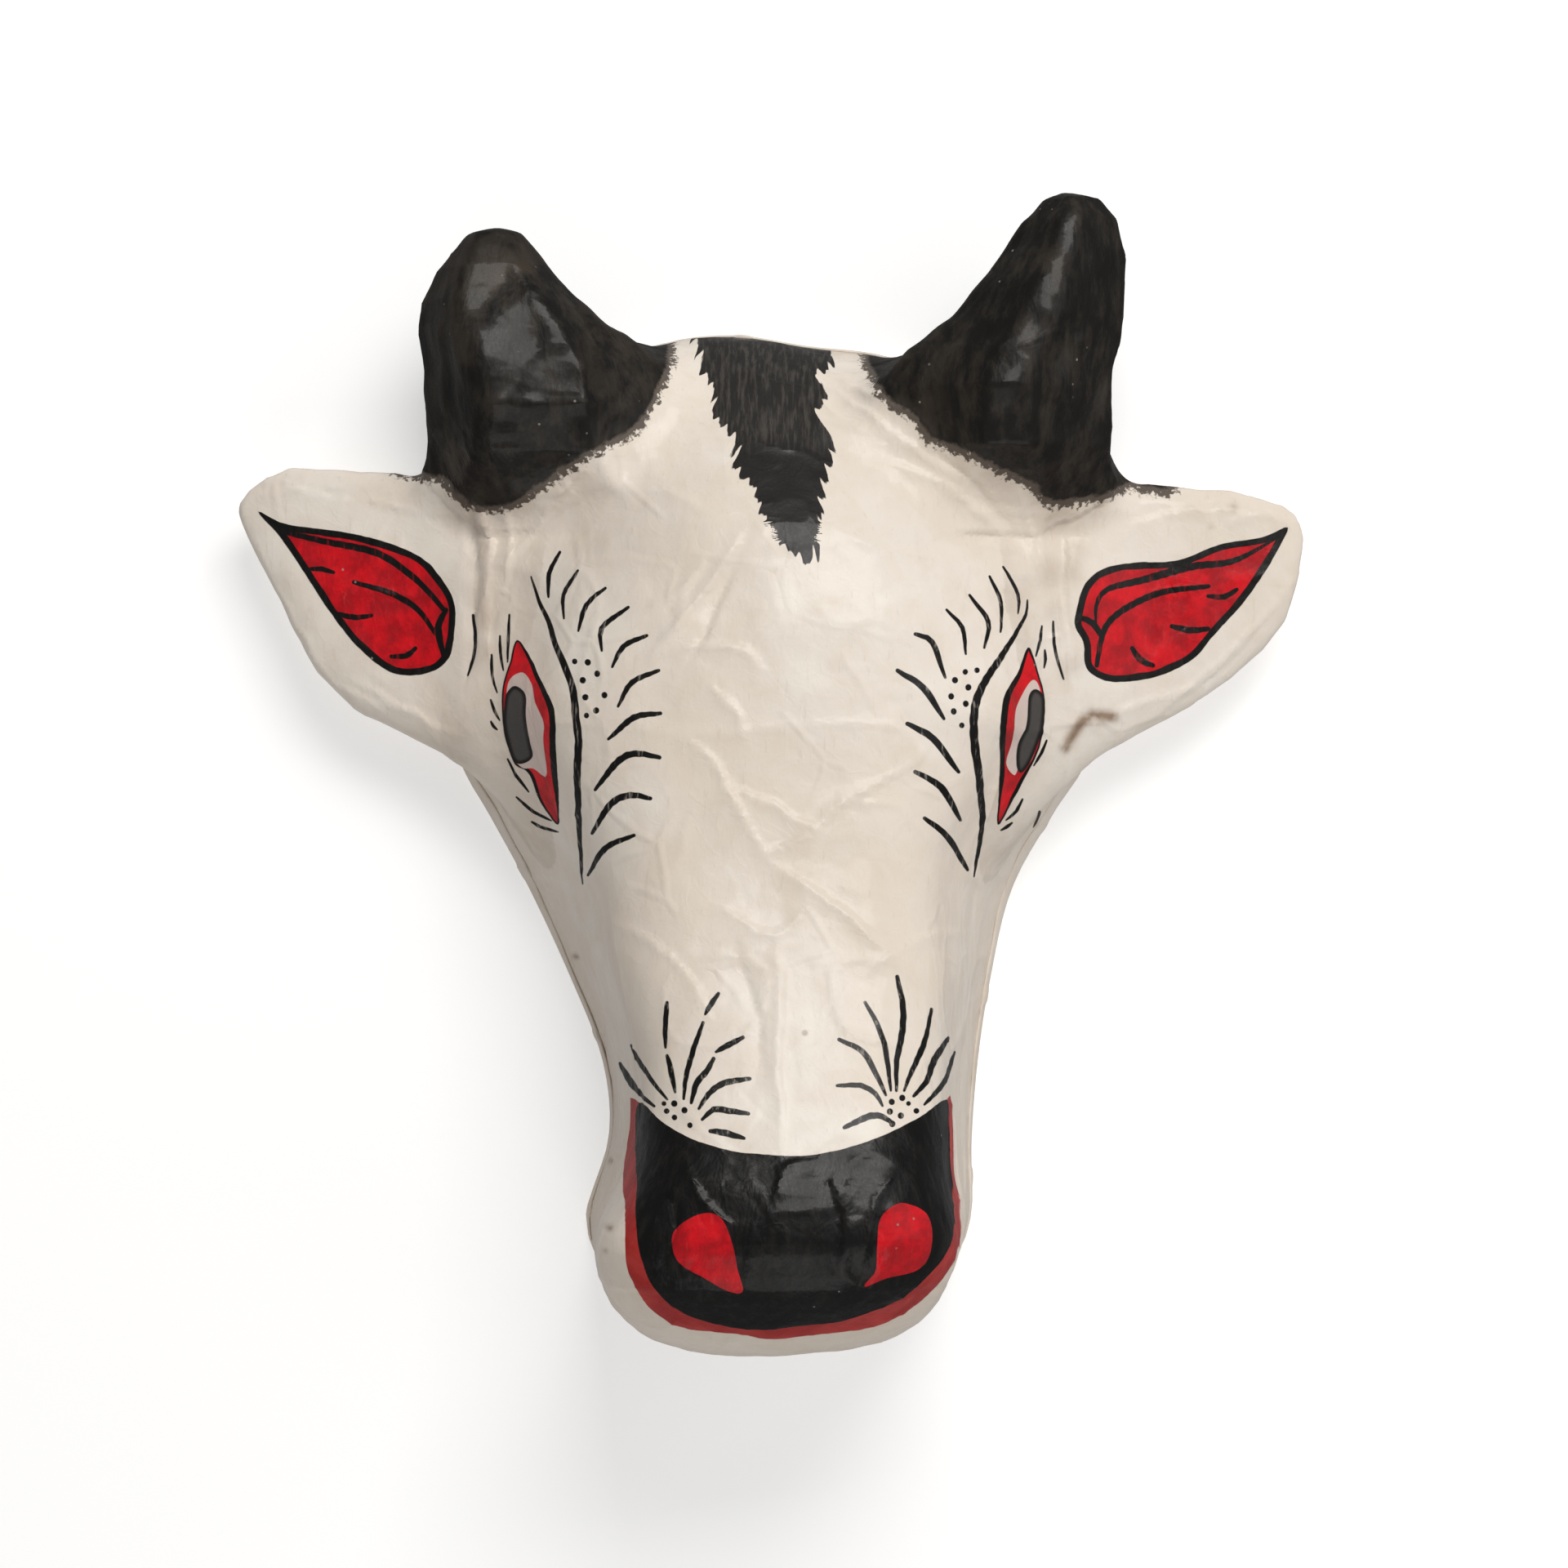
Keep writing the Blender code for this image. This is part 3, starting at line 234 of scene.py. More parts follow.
# creases of the paper: height, width and path
FOLDS = [
    (0.9, 3, [(-14.3, 77.2), (-22.9, 63.7), (-30.4, 54.1), (-41.6, 40.8)]),
    (-0.6, 2.4, [(-16.1, 67.6), (-20.8, 58.5), (-23.9, 49.4), (-29.9, 38.5)]),
    (0.55, 2, [(-25.5, 70.2), (-31.7, 61.9), (-42.9, 55.9)]),
    (0.6, 2.4, [(-38.5, 41.6), (-28.6, 44.2), (-14.3, 43.7), (-7.3, 38.5)]),
    (0.5, 2, [(-23.9, 33.3), (-15.1, 22.9), (-11.7, 14.3)]),
    (0.6, 2.4, [(-30.2, 13.5), (-22.9, 7.8), (-17.4, -2.1), (-11.7, -13.0), (-6.2, -22.4)]),
    (0.5, 2.2, [(-17.4, -2.1), (-7.8, -3.9), (3.9, -10.4), (12.0, -14.0)]),
    (0.55, 2.2, [(41.6, 6.0), (28.6, -1.3), (16.9, -7.8), (11.2, -14.6)]),
    (0.5, 2.2, [(-6.2, -22.4), (3.1, -18.2), (11.2, -14.6)]),
    (0.65, 2.6, [(0.5, -27.6), (13.0, -36.4), (26.5, -47.3), (39.5, -57.7)]),
    (0.45, 2.2, [(-20.8, -38.5), (-13.0, -43.7), (-3.1, -48.4), (6.5, -39.0)]),
    (0.5, 3.6, [(-2.1, -49.4), (-0.5, -70.2), (-1.3, -93.6), (0.0, -117.0)]),
    (-0.4, 3, [(-15.6, -49.4), (-9.1, -68.9), (-6.5, -93.6)]),
    (0.5, 3, [(15.1, 131.3), (26.0, 124.8), (41.6, 118.3), (49.4, 107.9)]),
    (0.45, 2.6, [(15.6, 125.3), (32.5, 114.4), (44.2, 104.0), (59.8, 96.2)]),
    (0.5, 3.2, [(29.9, 104.0), (49.4, 95.7), (68.9, 80.6), (78.5, 62.4)]),
    (-0.4, 2.6, [(44.2, 107.9), (62.4, 93.6), (75.4, 78.0)]),
    (0.45, 2.6, [(-59.8, 104.0), (-70.2, 93.6), (-80.6, 78.0), (-88.9, 70.2)]),
    (-0.4, 2.4, [(-67.6, 100.1), (-80.6, 87.1), (-91.0, 76.7)]),
    (0.7, 3, [(-106.1, 94.6), (-96.2, 87.1), (-93.1, 72.8), (-94.6, 57.2), (-93.6, 41.6)]),
    (-0.7, 3, [(-99.8, 88.4), (-97.2, 70.2), (-98.3, 52.0), (-100.1, 33.8)]),
    (0.5, 2.4, [(-88.4, 90.5), (-86.3, 78.0), (-88.9, 62.4)]),
    (0.7, 3, [(85.8, 90.5), (81.9, 78.0), (85.8, 62.4), (88.4, 41.6), (91.5, 20.8)]),
    (-0.6, 3, [(90.0, 83.2), (89.2, 62.4), (91.5, 41.6)]),
    (0.5, 2.4, [(75.4, 93.6), (78.5, 80.6), (80.1, 62.4)]),
    (0.5, 2.6, [(88.4, 20.8), (100.1, 20.8), (114.4, 26.5), (132.6, 31.7)]),
    (0.45, 2.4, [(111.8, 83.2), (127.4, 87.1), (148.2, 87.9), (163.8, 83.2)]),
    (0.45, 2.4, [(114.4, 20.8), (135.2, 36.4), (153.4, 54.6), (163.3, 67.6)]),
    (-0.4, 2.4, [(120.9, 23.9), (140.4, 37.7), (156.5, 55.9)]),
    (0.4, 2.2, [(140.4, 83.2), (152.1, 86.3), (162.5, 81.1)]),
    (0.45, 2.6, [(-163.8, 97.5), (-145.6, 92.3), (-124.8, 88.4), (-107.9, 80.6)]),
    (-0.4, 2.4, [(-156.0, 96.2), (-135.2, 90.5), (-111.8, 83.2)]),
    (0.45, 2.6, [(-169.0, 78.0), (-156.0, 54.6), (-143.0, 33.8), (-127.4, 23.4)]),
    (0.4, 2.4, [(-137.8, 33.8), (-119.6, 23.9), (-104.0, 15.6)]),
    (0.5, 3, [(15.6, 83.2), (36.4, 72.8), (54.6, 70.2)]),
    (-0.35, 3, [(-67.6, -52.0), (-58.5, -70.2), (-56.7, -96.2)]),
    (0.4, 2.6, [(-52.0, -44.2), (-36.4, -54.6), (-23.4, -72.8)]),
    (0.4, 2.8, [(26.0, -59.8), (41.6, -49.4), (57.2, -46.8)]),
    (0.4, 2.6, [(-10.9, 131.6), (-2.6, 127.4), (9.1, 124.8)]),
    (0.5, 2.6, [(-19.5, 114.4), (-5.2, 107.9), (10.4, 104.0)]),
    (0.4, 2.2, [(-3.9, -135.2), (0.0, -122.2), (6.5, -119.6)]),
    (-0.5, 3, [(13.0, -124.8), (18.2, -140.4), (15.6, -156.0)]),
    (0.5, 2.6, [(-31.2, -119.6), (-25.5, -132.6), (-15.6, -140.4)]),
    (-0.4, 2.4, [(-41.6, -124.8), (-33.8, -137.8), (-37.7, -153.4)]),
    (0.5, 2.6, [(36.4, -122.2), (28.6, -135.2), (26.0, -150.8)]),
]
# stains, and painted shade in the valleys round the ear and horn roots: centre, radius and strength
STAINS_AND_ROOT_SHADE = [
    (-55.1, -120.1, 0.9, 0.8), (-55.4, -141.4, 1.0, 0.8), (-56.7, -148.7, 0.8, 0.6), (-66.8, -55.1, 0.9, 0.7),
    (-87.1, 92.3, 6.0, 0.35),
    (-96.0, 88.0, 7.0, 0.3), (-99.0, 60.0, 5.0, 0.22), (86.5, 92.0, 8.0, 0.35), (70.0, 98.0, 6.0, 0.2),
    (-104.0, 12.0, 8.0, 0.22), (-95.0, 84.0, 6.0, 0.28), (-94.5, 70.0, 5.0, 0.26), (-95.0, 56.0, 5.0, 0.28), (-97.0, 42.0, 5.0, 0.24),
    (86.0, 84.0, 6.0, 0.22), (85.0, 68.0, 5.0, 0.22), (87.0, 52.0, 5.0, 0.22), (91.0, 38.0, 5.0, 0.26), (143.0, 88.0, 1.4, 0.35), (136.0, 82.0, 1.0, 0.25), (-58.0, -98.0, 3.0, 0.2),
]
# lamps: name, place, target, width, height, power, colour (metres, watts)
# a brown smudge, and painted shade down the valleys where the ears meet the head, along a line: strength, half width
# and the line's points
MARKS_AND_VALLEY_SHADE = [
    (0.95, 1.7, [(89.4, 11.7), (93.9, 19.5), (97.5, 22.1), (104.5, 21.6)]),
    (0.36, 4.0, [(-100.1, 93.6), (-96.7, 83.2), (-94.1, 67.6), (-94.6, 52.0)]),
    (0.22, 4.0, [(100.1, 90.5), (94.9, 80.6), (91.5, 67.6)]),
]
LAMPS = [
    ("key", (0.42, -1.50, 1.15), (0.0, -0.05, 0.0), 1.1, 0.8, 26.0, (1.0, 0.985, 0.955)),
    ("fill", (1.5, -1.3, 0.2), (0.0, -0.05, 0.0), 1.4, 1.4, 5.0, (0.98, 0.985, 1.0)),
    ("low", (0.1, -1.1, -1.5), (0.0, -0.08, -0.1), 1.4, 1.0, 7.0, (1.0, 0.985, 0.96)),
]
WORLD = 0.20
WALL_DIFFUSE = 0.66
WALL_GLOW = 0.485

# ------------------------------------------------------------ drawing plane
# Brushwork is laid out in mm in the plane of the rim, as it appears from 1.6 m
# straight in front, and carried forward on to the surface from there.
EYE_X, EYE_Z, EYE_DIST = 4.03, -4.03, 1600.0


def plane(x, d, z):
    f = 1 - d / EYE_DIST
    return (x - EYE_X) / f, (z - EYE_Z) / f


# ------------------------------------------------------------ small helpers


def closed_curve(points, count):
    p = np.array(points, float)
    s = np.linspace(0, 1, 12, endpoint=False)[:, None]
    a, b, c, e = p[np.arange(len(p)) - 1], p, np.roll(p, -1, 0), np.roll(p, -2, 0)
    dense = []
    for i in range(len(p)):
        dense.append(0.5 * (2 * b[i] + (c[i] - a[i]) * s + (2 * a[i] - 5 * b[i] + 4 * c[i] - e[i]) * s * s
                            + (3 * b[i] - a[i] - 3 * c[i] + e[i]) * s ** 3))
    dense = np.vstack(dense)
    loop = np.vstack([dense, dense[:1]])
    length = np.concatenate([[0], np.cumsum(np.linalg.norm(np.diff(loop, axis=0), axis=1))])
    at = np.linspace(0, length[-1], count, endpoint=False)
    return np.stack([np.interp(at, length, loop[:, k]) for k in (0, 1)], axis=1)


def open_curve(points, step):
    p = np.array(points, float)
    p = np.vstack([2 * p[0] - p[1], p, 2 * p[-1] - p[-2]])
    out = []
    for i in range(1, len(p) - 2):
        a, b, c, e = p[i - 1], p[i], p[i + 1], p[i + 2]
        n = max(2, int(np.linalg.norm(c - b) / step))
        s = np.linspace(0, 1, n, endpoint=False)[:, None]
        out.append(0.5 * (2 * b + (c - a) * s + (2 * a - 5 * b + 4 * c - e) * s * s
                          + (3 * b - a - 3 * c + e) * s ** 3))
    return np.vstack(out + [p[-2:-1]])


def polygon_distance(loop, u, v):
    """Signed distance to a closed loop, negative inside."""
    best = np.full(u.shape, 1e9)
    inside = np.zeros(u.shape, bool)
    for (ax, az), (bx, bz) in zip(loop, np.roll(loop, -1, axis=0)):
        ex, ez = bx - ax, bz - az
        t = np.clip(((u - ax) * ex + (v - az) * ez) / (ex * ex + ez * ez + 1e-12), 0, 1)
        best = np.minimum(best, (u - ax - t * ex) ** 2 + (v - az - t * ez) ** 2)
        if az != bz:
            cross = ((az > v) != (bz > v)) & (u < (bx - ax) * (v - az) / (bz - az) + ax)
            inside ^= cross
    best = np.sqrt(best)
    return np.where(inside, -best, best)


def near(u, v, pts, reach):
    p = np.array(pts, float)
    lo, hi = p.min(0) - reach, p.max(0) + reach
    return np.nonzero((u > lo[0]) & (u < hi[0]) & (v > lo[1]) & (v < hi[1]))[0]


def area_distance(points, u, v, reach=12.0, step=0.7):
    """Signed distance to a painted area with smooth sides, capped at reach."""
    out = np.full(u.shape, float(reach))
    who = near(u, v, points, reach)
    if len(who):
        n = max(24, int(np.linalg.norm(np.diff(np.array(points + points[:1]), axis=0), axis=1).sum() / step))
        out[who] = np.minimum(polygon_distance(closed_curve(points, min(n, 150)), u[who], v[who]), reach)
    return out


def line_distance(pts, u, v):
    """Distance to an open line, its signed side and how far along (0 to 1)."""
    best = np.full(u.shape, 1e9)
    side = np.ones(u.shape)
    along = np.zeros(u.shape)
    n = len(pts) - 1
    for i in range(n):
        (ax, az), (bx, bz) = pts[i], pts[i + 1]
        ex, ez = bx - ax, bz - az
        t = np.clip(((u - ax) * ex + (v - az) * ez) / (ex * ex + ez * ez + 1e-12), 0, 1)
        q = (u - ax - t * ex) ** 2 + (v - az - t * ez) ** 2
        better = q < best
        best = np.where(better, q, best)
        side = np.where(better, np.sign(ex * (v - az) - ez * (u - ax)), side)
        along = np.where(better, (i + t) / n, along)
    return np.sqrt(best), side, along


def noise(p, scale, seed):
    q = p / scale + np.array([11.3, 5.7, 23.1]) * (seed + 1)
    i = np.floor(q).astype(np.int64)
    f = q - i
    f = f * f * (3 - 2 * f)
    total = 0.0
    for a in (0, 1):
        for b in (0, 1):
            for c in (0, 1):
                n = (i[:, 0] + a) * 73856093 ^ (i[:, 1] + b) * 19349663 ^ (i[:, 2] + c) * 83492791 ^ (seed * 2654435)
                n = (n ^ (n >> 13)) * 1274126177 & 0x7FFFFFFF
                w = (f[:, 0] if a else 1 - f[:, 0]) * (f[:, 1] if b else 1 - f[:, 1]) * (f[:, 2] if c else 1 - f[:, 2])
                total = total + w * ((n >> 7) & 0xFFFF) / 65535.0
    return total


def smooth_max(a, b, k):
    h = np.clip(0.5 + 0.5 * (a - b) / k, 0, 1)
    return a * h + b * (1 - h) + k * h * (1 - h)


def smooth_min(a, b, k):
    return -smooth_max(-a, -b, k)


def step01(x):
    x = np.clip(x, 0, 1)
    return x * x * (3 - 2 * x)


# ------------------------------------------------------------ the body's surface

OUTLINE = closed_curve(RIM_OUTLINE, 150)
GX = np.arange(-125.0, 126.0, 1.0)
GZ = np.arange(-200.0, 161.0, 1.0)
_u, _v = np.meshgrid(GX, GZ, indexing="ij")
GRID_SD = polygon_distance(OUTLINE, _u.ravel(), _v.ravel()).reshape(_u.shape)
STATION = np.array(sorted(HEAD_STATIONS), float)


def grid_sd(x, z):
    u = np.clip(x - GX[0], 0, len(GX) - 1.001)
    v = np.clip(z - GZ[0], 0, len(GZ) - 1.001)
    i, j = u.astype(int), v.astype(int)
    fu, fv = u - i, v - j
    g = GRID_SD
    return ((g[i, j] * (1 - fu) + g[i + 1, j] * fu) * (1 - fv)
            + (g[i, j + 1] * (1 - fu) + g[i + 1, j + 1] * fu) * fv)


def station(z, column):
    total = 0.0
    for shift, weight in ((-4.0, 0.25), (0.0, 0.5), (4.0, 0.25)):
        total = total + weight * np.interp(z + shift, STATION[:, 0], STATION[:, column])
    return total


def middle(z):
    return np.interp(z, [-176, -150, -110, -60, 0, 140], [-4, 2, 5, 3, 1, 0])


def head(x, d, z):
    depth = station(z, 1) - station(z, 2) * ((x - middle(z)) / 60.0) ** 2
    slope = (station(z + 1, 1) - station(z - 1, 1)) / 2
    front = (d - depth) / np.sqrt(1 + slope ** 2)
    taper = station(z, 3)
    side = (grid_sd(x, z) + taper * np.maximum(d, 0)) / np.sqrt(1 + taper ** 2)
    return smooth_max(front, side, station(z, 4))


def horn(table, x, d, z):
    t = np.array(table, float)[::-1]
    cx, hx, cd, hd = [np.interp(z, t[:, 0], t[:, c]) for c in (1, 2, 3, 4)]
    low = np.minimum(hx, hd)
    r = (np.sqrt(((x - cx) / hx) ** 2 + ((d - cd) / hd) ** 2 + 1e-6) - 1) * low
    rise = np.interp(z + 1, t[:, 0], t[:, 2]) - np.interp(z - 1, t[:, 0], t[:, 2])
    r = r / np.sqrt(1 + np.clip(rise / 2, -3, 3) ** 2)
    # the paper over the front of the horn is pressed into long flat facets
    for a, b, share in HORN_FACETS[table is RIGHT_FLARED]:
        reach = share * np.sqrt((a * hx) ** 2 + (b * hd) ** 2)
        r = smooth_max(r, (a * (x - cx) + b * (d - cd)) - reach, 1.1)
    r = smooth_max(r, z - t[-1, 0] - 0.4, 3.0)
    return smooth_max(r, t[0, 0] + 2 - z, 3.0)


# the paper skin of a horn spreads out over the head below its core's root
LEFT_FLARED = HORN_LEFT[:8] + [(98, -73, 33, 38, 27), (88, -73, 33, 34, 19), (80, -73, 29, 30, 12), (73, -70, 20, 27, 6)]
RIGHT_FLARED = HORN_RIGHT[:8] + [(100, 74, 33, 39, 27), (90, 75, 32, 35, 19), (81, 75, 28, 31, 12), (73, 71, 20, 27, 6)]

HORN_FACETS = {
    False: ((-0.86, 0.51, 0.86), (0.10, 0.995, 0.89), (0.80, 0.60, 0.90), (-0.86, -0.51, 0.88), (0.3, -0.954, 0.90)),
    True: ((-0.66, 0.75, 0.85), (0.62, 0.785, 0.84), (0.99, -0.14, 0.90), (-0.95, -0.31, 0.92), (0.3, -0.954, 0.90)),
}


def ear(table, x, d, z):
    t = np.array(table, float)
    s = -1.0 if t[0, 0] < 0 else 1.0
    at = (t[:, 0] + t[:, 2]) / 2 * s
    q = x * s
    uz, lz, cd, hd = [np.interp(q, at, t[:, c]) for c in (1, 3, 4, 5)]
    mid, half = (uz + lz) / 2, (uz - lz) / 2
    v = (z - mid) / half
    e = (d - cd) / hd
    win = np.clip((q - 96) / 22, 0, 1) * np.clip((166 - q) / 24, 0, 1)
    e = e + 0.55 * np.clip(1 - v * v, 0, 1) * win * step01((d - cd) / hd * 0.9)
    r = (np.sqrt(np.abs(v) ** 2.4 + e * e + 1e-6) - 1) * np.minimum(hd, half)
    r = smooth_max(r, q - at[-1] - 0.2, 3.0)
    return smooth_max(r, 70.0 - q, 3.0)


def parts(x, d, z):
    h = head(x, d, z)
    horns = np.minimum(horn(LEFT_FLARED, x, d, z), horn(RIGHT_FLARED, x, d, z))
    ears = np.minimum(ear(EAR_LEFT, x, d, z), ear(EAR_RIGHT, x, d, z))
    return h, horns, ears


def body(x, d, z):
    h, horns, ears = parts(x, d, z)
    return smooth_min(smooth_min(h, horns, 27.0), ears, 14.0)


# ------------------------------------------------------------ meshing


def surface_net(value, origin, h):
    """Vertices and triangles of the zero surface on a regular grid."""
    inside = value < 0
    n = value.shape
    count = np.zeros((n[0] - 1, n[1] - 1, n[2] - 1), np.int8)
    for i in (0, 1):
        for j in (0, 1):
            for k in (0, 1):
                count += inside[i:n[0] - 1 + i, j:n[1] - 1 + j, k:n[2] - 1 + k]
    active = (count > 0) & (count < 8)
    cells = np.argwhere(active)
    index = np.full(active.shape, -1, np.int64)
    index[active] = np.arange(len(cells))
    pos, cnt = np.zeros((len(cells), 3)), np.zeros(len(cells))
    for axis in range(3):
        others = [a for a in range(3) if a != axis]
        for p in (0, 1):
            for q in (0, 1):
                a = np.zeros(3, int)
                a[others[0]], a[others[1]] = p, q
                b = a.copy()
                b[axis] = 1
                ca, cb = cells + a, cells + b
                va, vb = value[tuple(ca.T)], value[tuple(cb.T)]
                cross = (va < 0) != (vb < 0)
                t = np.where(cross, va / np.where(cross, va - vb, 1), 0)
                pos += (a + t[:, None] * (b - a)) * cross[:, None]
                cnt += cross
    verts = (cells + pos / cnt[:, None]) * h + origin
    quads = []
    for axis in range(3):
        u, v = (axis + 1) % 3, (axis + 2) % 3
        lo = [slice(None)] * 3
        hi = [slice(None)] * 3
        lo[axis], hi[axis] = slice(0, -1), slice(1, None)
        a, b = inside[tuple(lo)], inside[tuple(hi)]
        for sign, hit in ((1, a & ~b), (-1, ~a & b)):
            g = np.argwhere(hit)
            g = g[(g[:, u] > 0) & (g[:, v] > 0) & (g[:, u] < n[u] - 1) & (g[:, v] < n[v] - 1)]
            corner = []
            for du, dv in ((-1, -1), (0, -1), (0, 0), (-1, 0)):
                c = g.copy()
                c[:, u] += du
                c[:, v] += dv
                corner.append(index[tuple(c.T)])
            q = np.stack(corner, axis=1)
            quads.append(q if sign > 0 else q[:, ::-1])
    q = np.vstack(quads)
    q = q[(q >= 0).all(axis=1)]
    d1 = ((verts[q[:, 0]] - verts[q[:, 2]]) ** 2).sum(1)
    d2 = ((verts[q[:, 1]] - verts[q[:, 3]]) ** 2).sum(1)
    one = d1 <= d2
    tris = np.vstack([q[one][:, [0, 1, 2]], q[one][:, [0, 2, 3]], q[~one][:, [0, 1, 3]], q[~one][:, [1, 2, 3]]])
    return verts, tris


def gradient(field, p, e=0.4):
    x, d, z = p.T
    g = np.stack([field(x + e, d, z) - field(x - e, d, z),
                  field(x, d + e, z) - field(x, d - e, z),
                  field(x, d, z + e) - field(x, d, z - e)], axis=1) / (2 * e)
    return g


def settle(field, p, rounds, rim=None):
    for _ in range(rounds):
        g = gradient(field, p)
        if rim is not None:
            g[rim, 1] = 0
        f = field(*p.T)
        step = f / np.maximum((g ** 2).sum(1), 0.05)
        p = p - g * np.clip(step, -1.2, 1.2)[:, None]
        if rim is not None:
            p[rim, 1] = RIM_D
    return p


def edge_table(tris, n):
    e = np.sort(tris[:, [0, 1, 1, 2, 2, 0]].reshape(-1, 2), axis=1)
    key, inv, cnt = np.unique(e[:, 0] * n + e[:, 1], return_inverse=True, return_counts=True)
    return np.stack([key // n, key % n], axis=1), inv.reshape(-1, 3), cnt


def boundary(tris, n):
    edges, _, cnt = edge_table(tris, n)
    return np.unique(edges[cnt == 1])


def refine(verts, tris, wanted):
    edges, inv, _ = edge_table(tris, len(verts))
    mark = wanted(verts, edges)
    new = np.full(len(edges), -1)
    new[mark] = len(verts) + np.arange(mark.sum())
    verts = np.vstack([verts, (verts[edges[mark, 0]] + verts[edges[mark, 1]]) / 2])
    m = new[inv]
    code = (m >= 0) @ np.array([1, 2, 4])
    out = [tris[code == 0]]

    def turned(c, r):
        who = code == c
        return np.roll(tris[who], -r, axis=1), np.roll(m[who], -r, axis=1)

    for c, r in ((1, 0), (2, 1), (4, 2)):
        t, k = turned(c, r)
        out += [np.stack([t[:, 0], k[:, 0], t[:, 2]], 1), np.stack([k[:, 0], t[:, 1], t[:, 2]], 1)]
    for c, r in ((3, 0), (6, 1), (5, 2)):
        t, k = turned(c, r)
        out += [np.stack([k[:, 0], t[:, 1], k[:, 1]], 1), np.stack([t[:, 0], k[:, 0], k[:, 1]], 1),
                np.stack([t[:, 0], k[:, 1], t[:, 2]], 1)]
    t, k = turned(7, 0)
    out += [np.stack([t[:, 0], k[:, 0], k[:, 2]], 1), np.stack([k[:, 0], t[:, 1], k[:, 1]], 1),
            np.stack([k[:, 2], k[:, 1], t[:, 2]], 1), k]
    return verts, np.vstack(out)


def vertex_normals(verts, tris):
    a, b, c = verts[tris[:, 0]], verts[tris[:, 1]], verts[tris[:, 2]]
    fn = np.cross(b - a, c - a)
    out = np.zeros_like(verts)
    for k in range(3):
        for j in range(3):
            out[:, j] += np.bincount(tris[:, k], weights=fn[:, j], minlength=len(verts))
    return out / np.maximum(np.linalg.norm(out, axis=1), 1e-12)[:, None]


# ------------------------------------------------------------ brushwork

rng = np.random.RandomState(7)
STROKES = []
for _group in (BROWS, LASHES, FINE_LINES, WHISKERS, LEAF_LINES):
    for _half, _pts in _group:
        STROKES.append((_half * (1.15 if _group is LEAF_LINES else 1.0), open_curve(_pts, 2.0), _group is LEAF_LINES))


def ink_distance(u, v):
    out = np.full(u.shape, 6.0)
    for k, (half, pts, leaf) in enumerate(STROKES):
        who = near(u, v, pts, 3.0)
        if not len(who):
            continue
        dist, _, t = line_distance(pts, u[who], v[who])
        if len(pts) > 30:
            w = half * (0.25 + 0.95 * np.sin(np.pi * np.clip(t, 0, 1)) ** 0.8)
        elif leaf:
            w = half * (0.75 + 0.35 * np.sin(np.pi * t))
        else:
            w = half * (0.45 + 0.75 * np.sin(np.pi * np.clip(t * 0.9 + 0.08, 0, 1)) ** 0.7)
        w = 1.2 * w * (1 + 0.06 * np.sin(u[who] * 1.9 + v[who] * 1.3 + k))
        out[who] = np.minimum(out[who], dist - w)
    for cx, cz, r in DOTS:
        who = near(u, v, [(cx, cz)], 3.0)
        out[who] = np.minimum(out[who], np.hypot((u[who] - cx) * 1.08, (v[who] - cz)) - r)
    return out


def paint(p):
    """The paint layers as signed distances in mm, one value per point."""
    u, v = plane(*p.T)
    n1 = noise(p, 1.6, 3) - 0.5
    n2 = noise(p, 4.5, 4) - 0.5
    lay = {}
    horns = np.minimum(area_distance(HORN_PAINT_LEFT, u, v, 14, 2.0), area_distance(HORN_PAINT_RIGHT, u, v, 14, 2.0))
    lay["horn_black"] = horns + 1.0 * n2
    # hair of the forelock: short spikes that lean down and outwards
    lock = area_distance(FORELOCK, u, v, 12, 1.2)
    left = u < 2.0 + 0.10 * (90 - v)
    tip = step01((84 - v) / 8)
    across = np.where(left, 0.83 * u - (0.55 - 0.5 * tip) * v, 0.83 * u + (0.55 - 0.5 * tip) * v) + 1.2 * n2
    spike = 0.0
    for period, tall in ((3.7, 2.9), (1.9, 1.3)):
        k = np.floor(across / period)
        f = across / period - k
        uneven = 0.45 + 0.55 * np.abs(np.sin(k * 12.9898 + period))
        spike = spike + tall * uneven * (1 - np.abs(2 * f - 1)) ** 1.3
    lay["fur"] = lock + 1.3 - spike * step01((150 - v) / 4)
    eyes = np.minimum(area_distance(EYE_LEFT, u, v, 8), area_distance(EYE_RIGHT, u, v, 8))
    leaf = np.minimum(area_distance(LEAF_LEFT, u, v, 10), area_distance(LEAF_RIGHT, u, v, 10))
    behind = np.interp(np.abs(p[:, 0]), [74, 104, 167], [28, 26, 20]) - p[:, 1]
    leaf = np.maximum(leaf, behind)
    muzzle = area_distance(MUZZLE_BLACK, u, v, 10, 1.0)
    on_front = 64 - p[:, 1]
    lay["black"] = np.minimum(np.minimum(eyes, leaf), np.maximum(muzzle, on_front)) + 0.18 * n1
    rim = np.where(u < 0, np.clip((u + 84) / 9, 0, 1), np.clip((79 - u) / 7, 0, 1))
    thick = 0.55 + 1.35 * rim * step01((v + 10) / 16)
    red = np.minimum(eyes + thick, leaf + 2.15 + 0.5 * n2)
    nostrils = np.minimum(area_distance(NOSTRIL_LEFT, u, v, 8), area_distance(NOSTRIL_RIGHT, u, v, 8))
    lay["red"] = np.minimum(red, nostrils) + 0.15 * n1
    lay["lip"] = np.maximum(area_distance(MOUTH_RED, u, v, 10, 1.0), on_front - 4.5) + 0.22 * n1
    lay["white"] = np.minimum(area_distance(EYE_WHITE_LEFT, u, v, 6), area_distance(EYE_WHITE_RIGHT, u, v, 6))
    lay["pupil"] = np.minimum(area_distance(PUPIL_LEFT, u, v, 6), area_distance(PUPIL_RIGHT, u, v, 6))
    lay["ink"] = np.where(np.abs(p[:, 0]) > 96, np.maximum(ink_distance(u, v), behind), ink_distance(u, v))
    return lay


# ------------------------------------------------------------ pasted paper relief

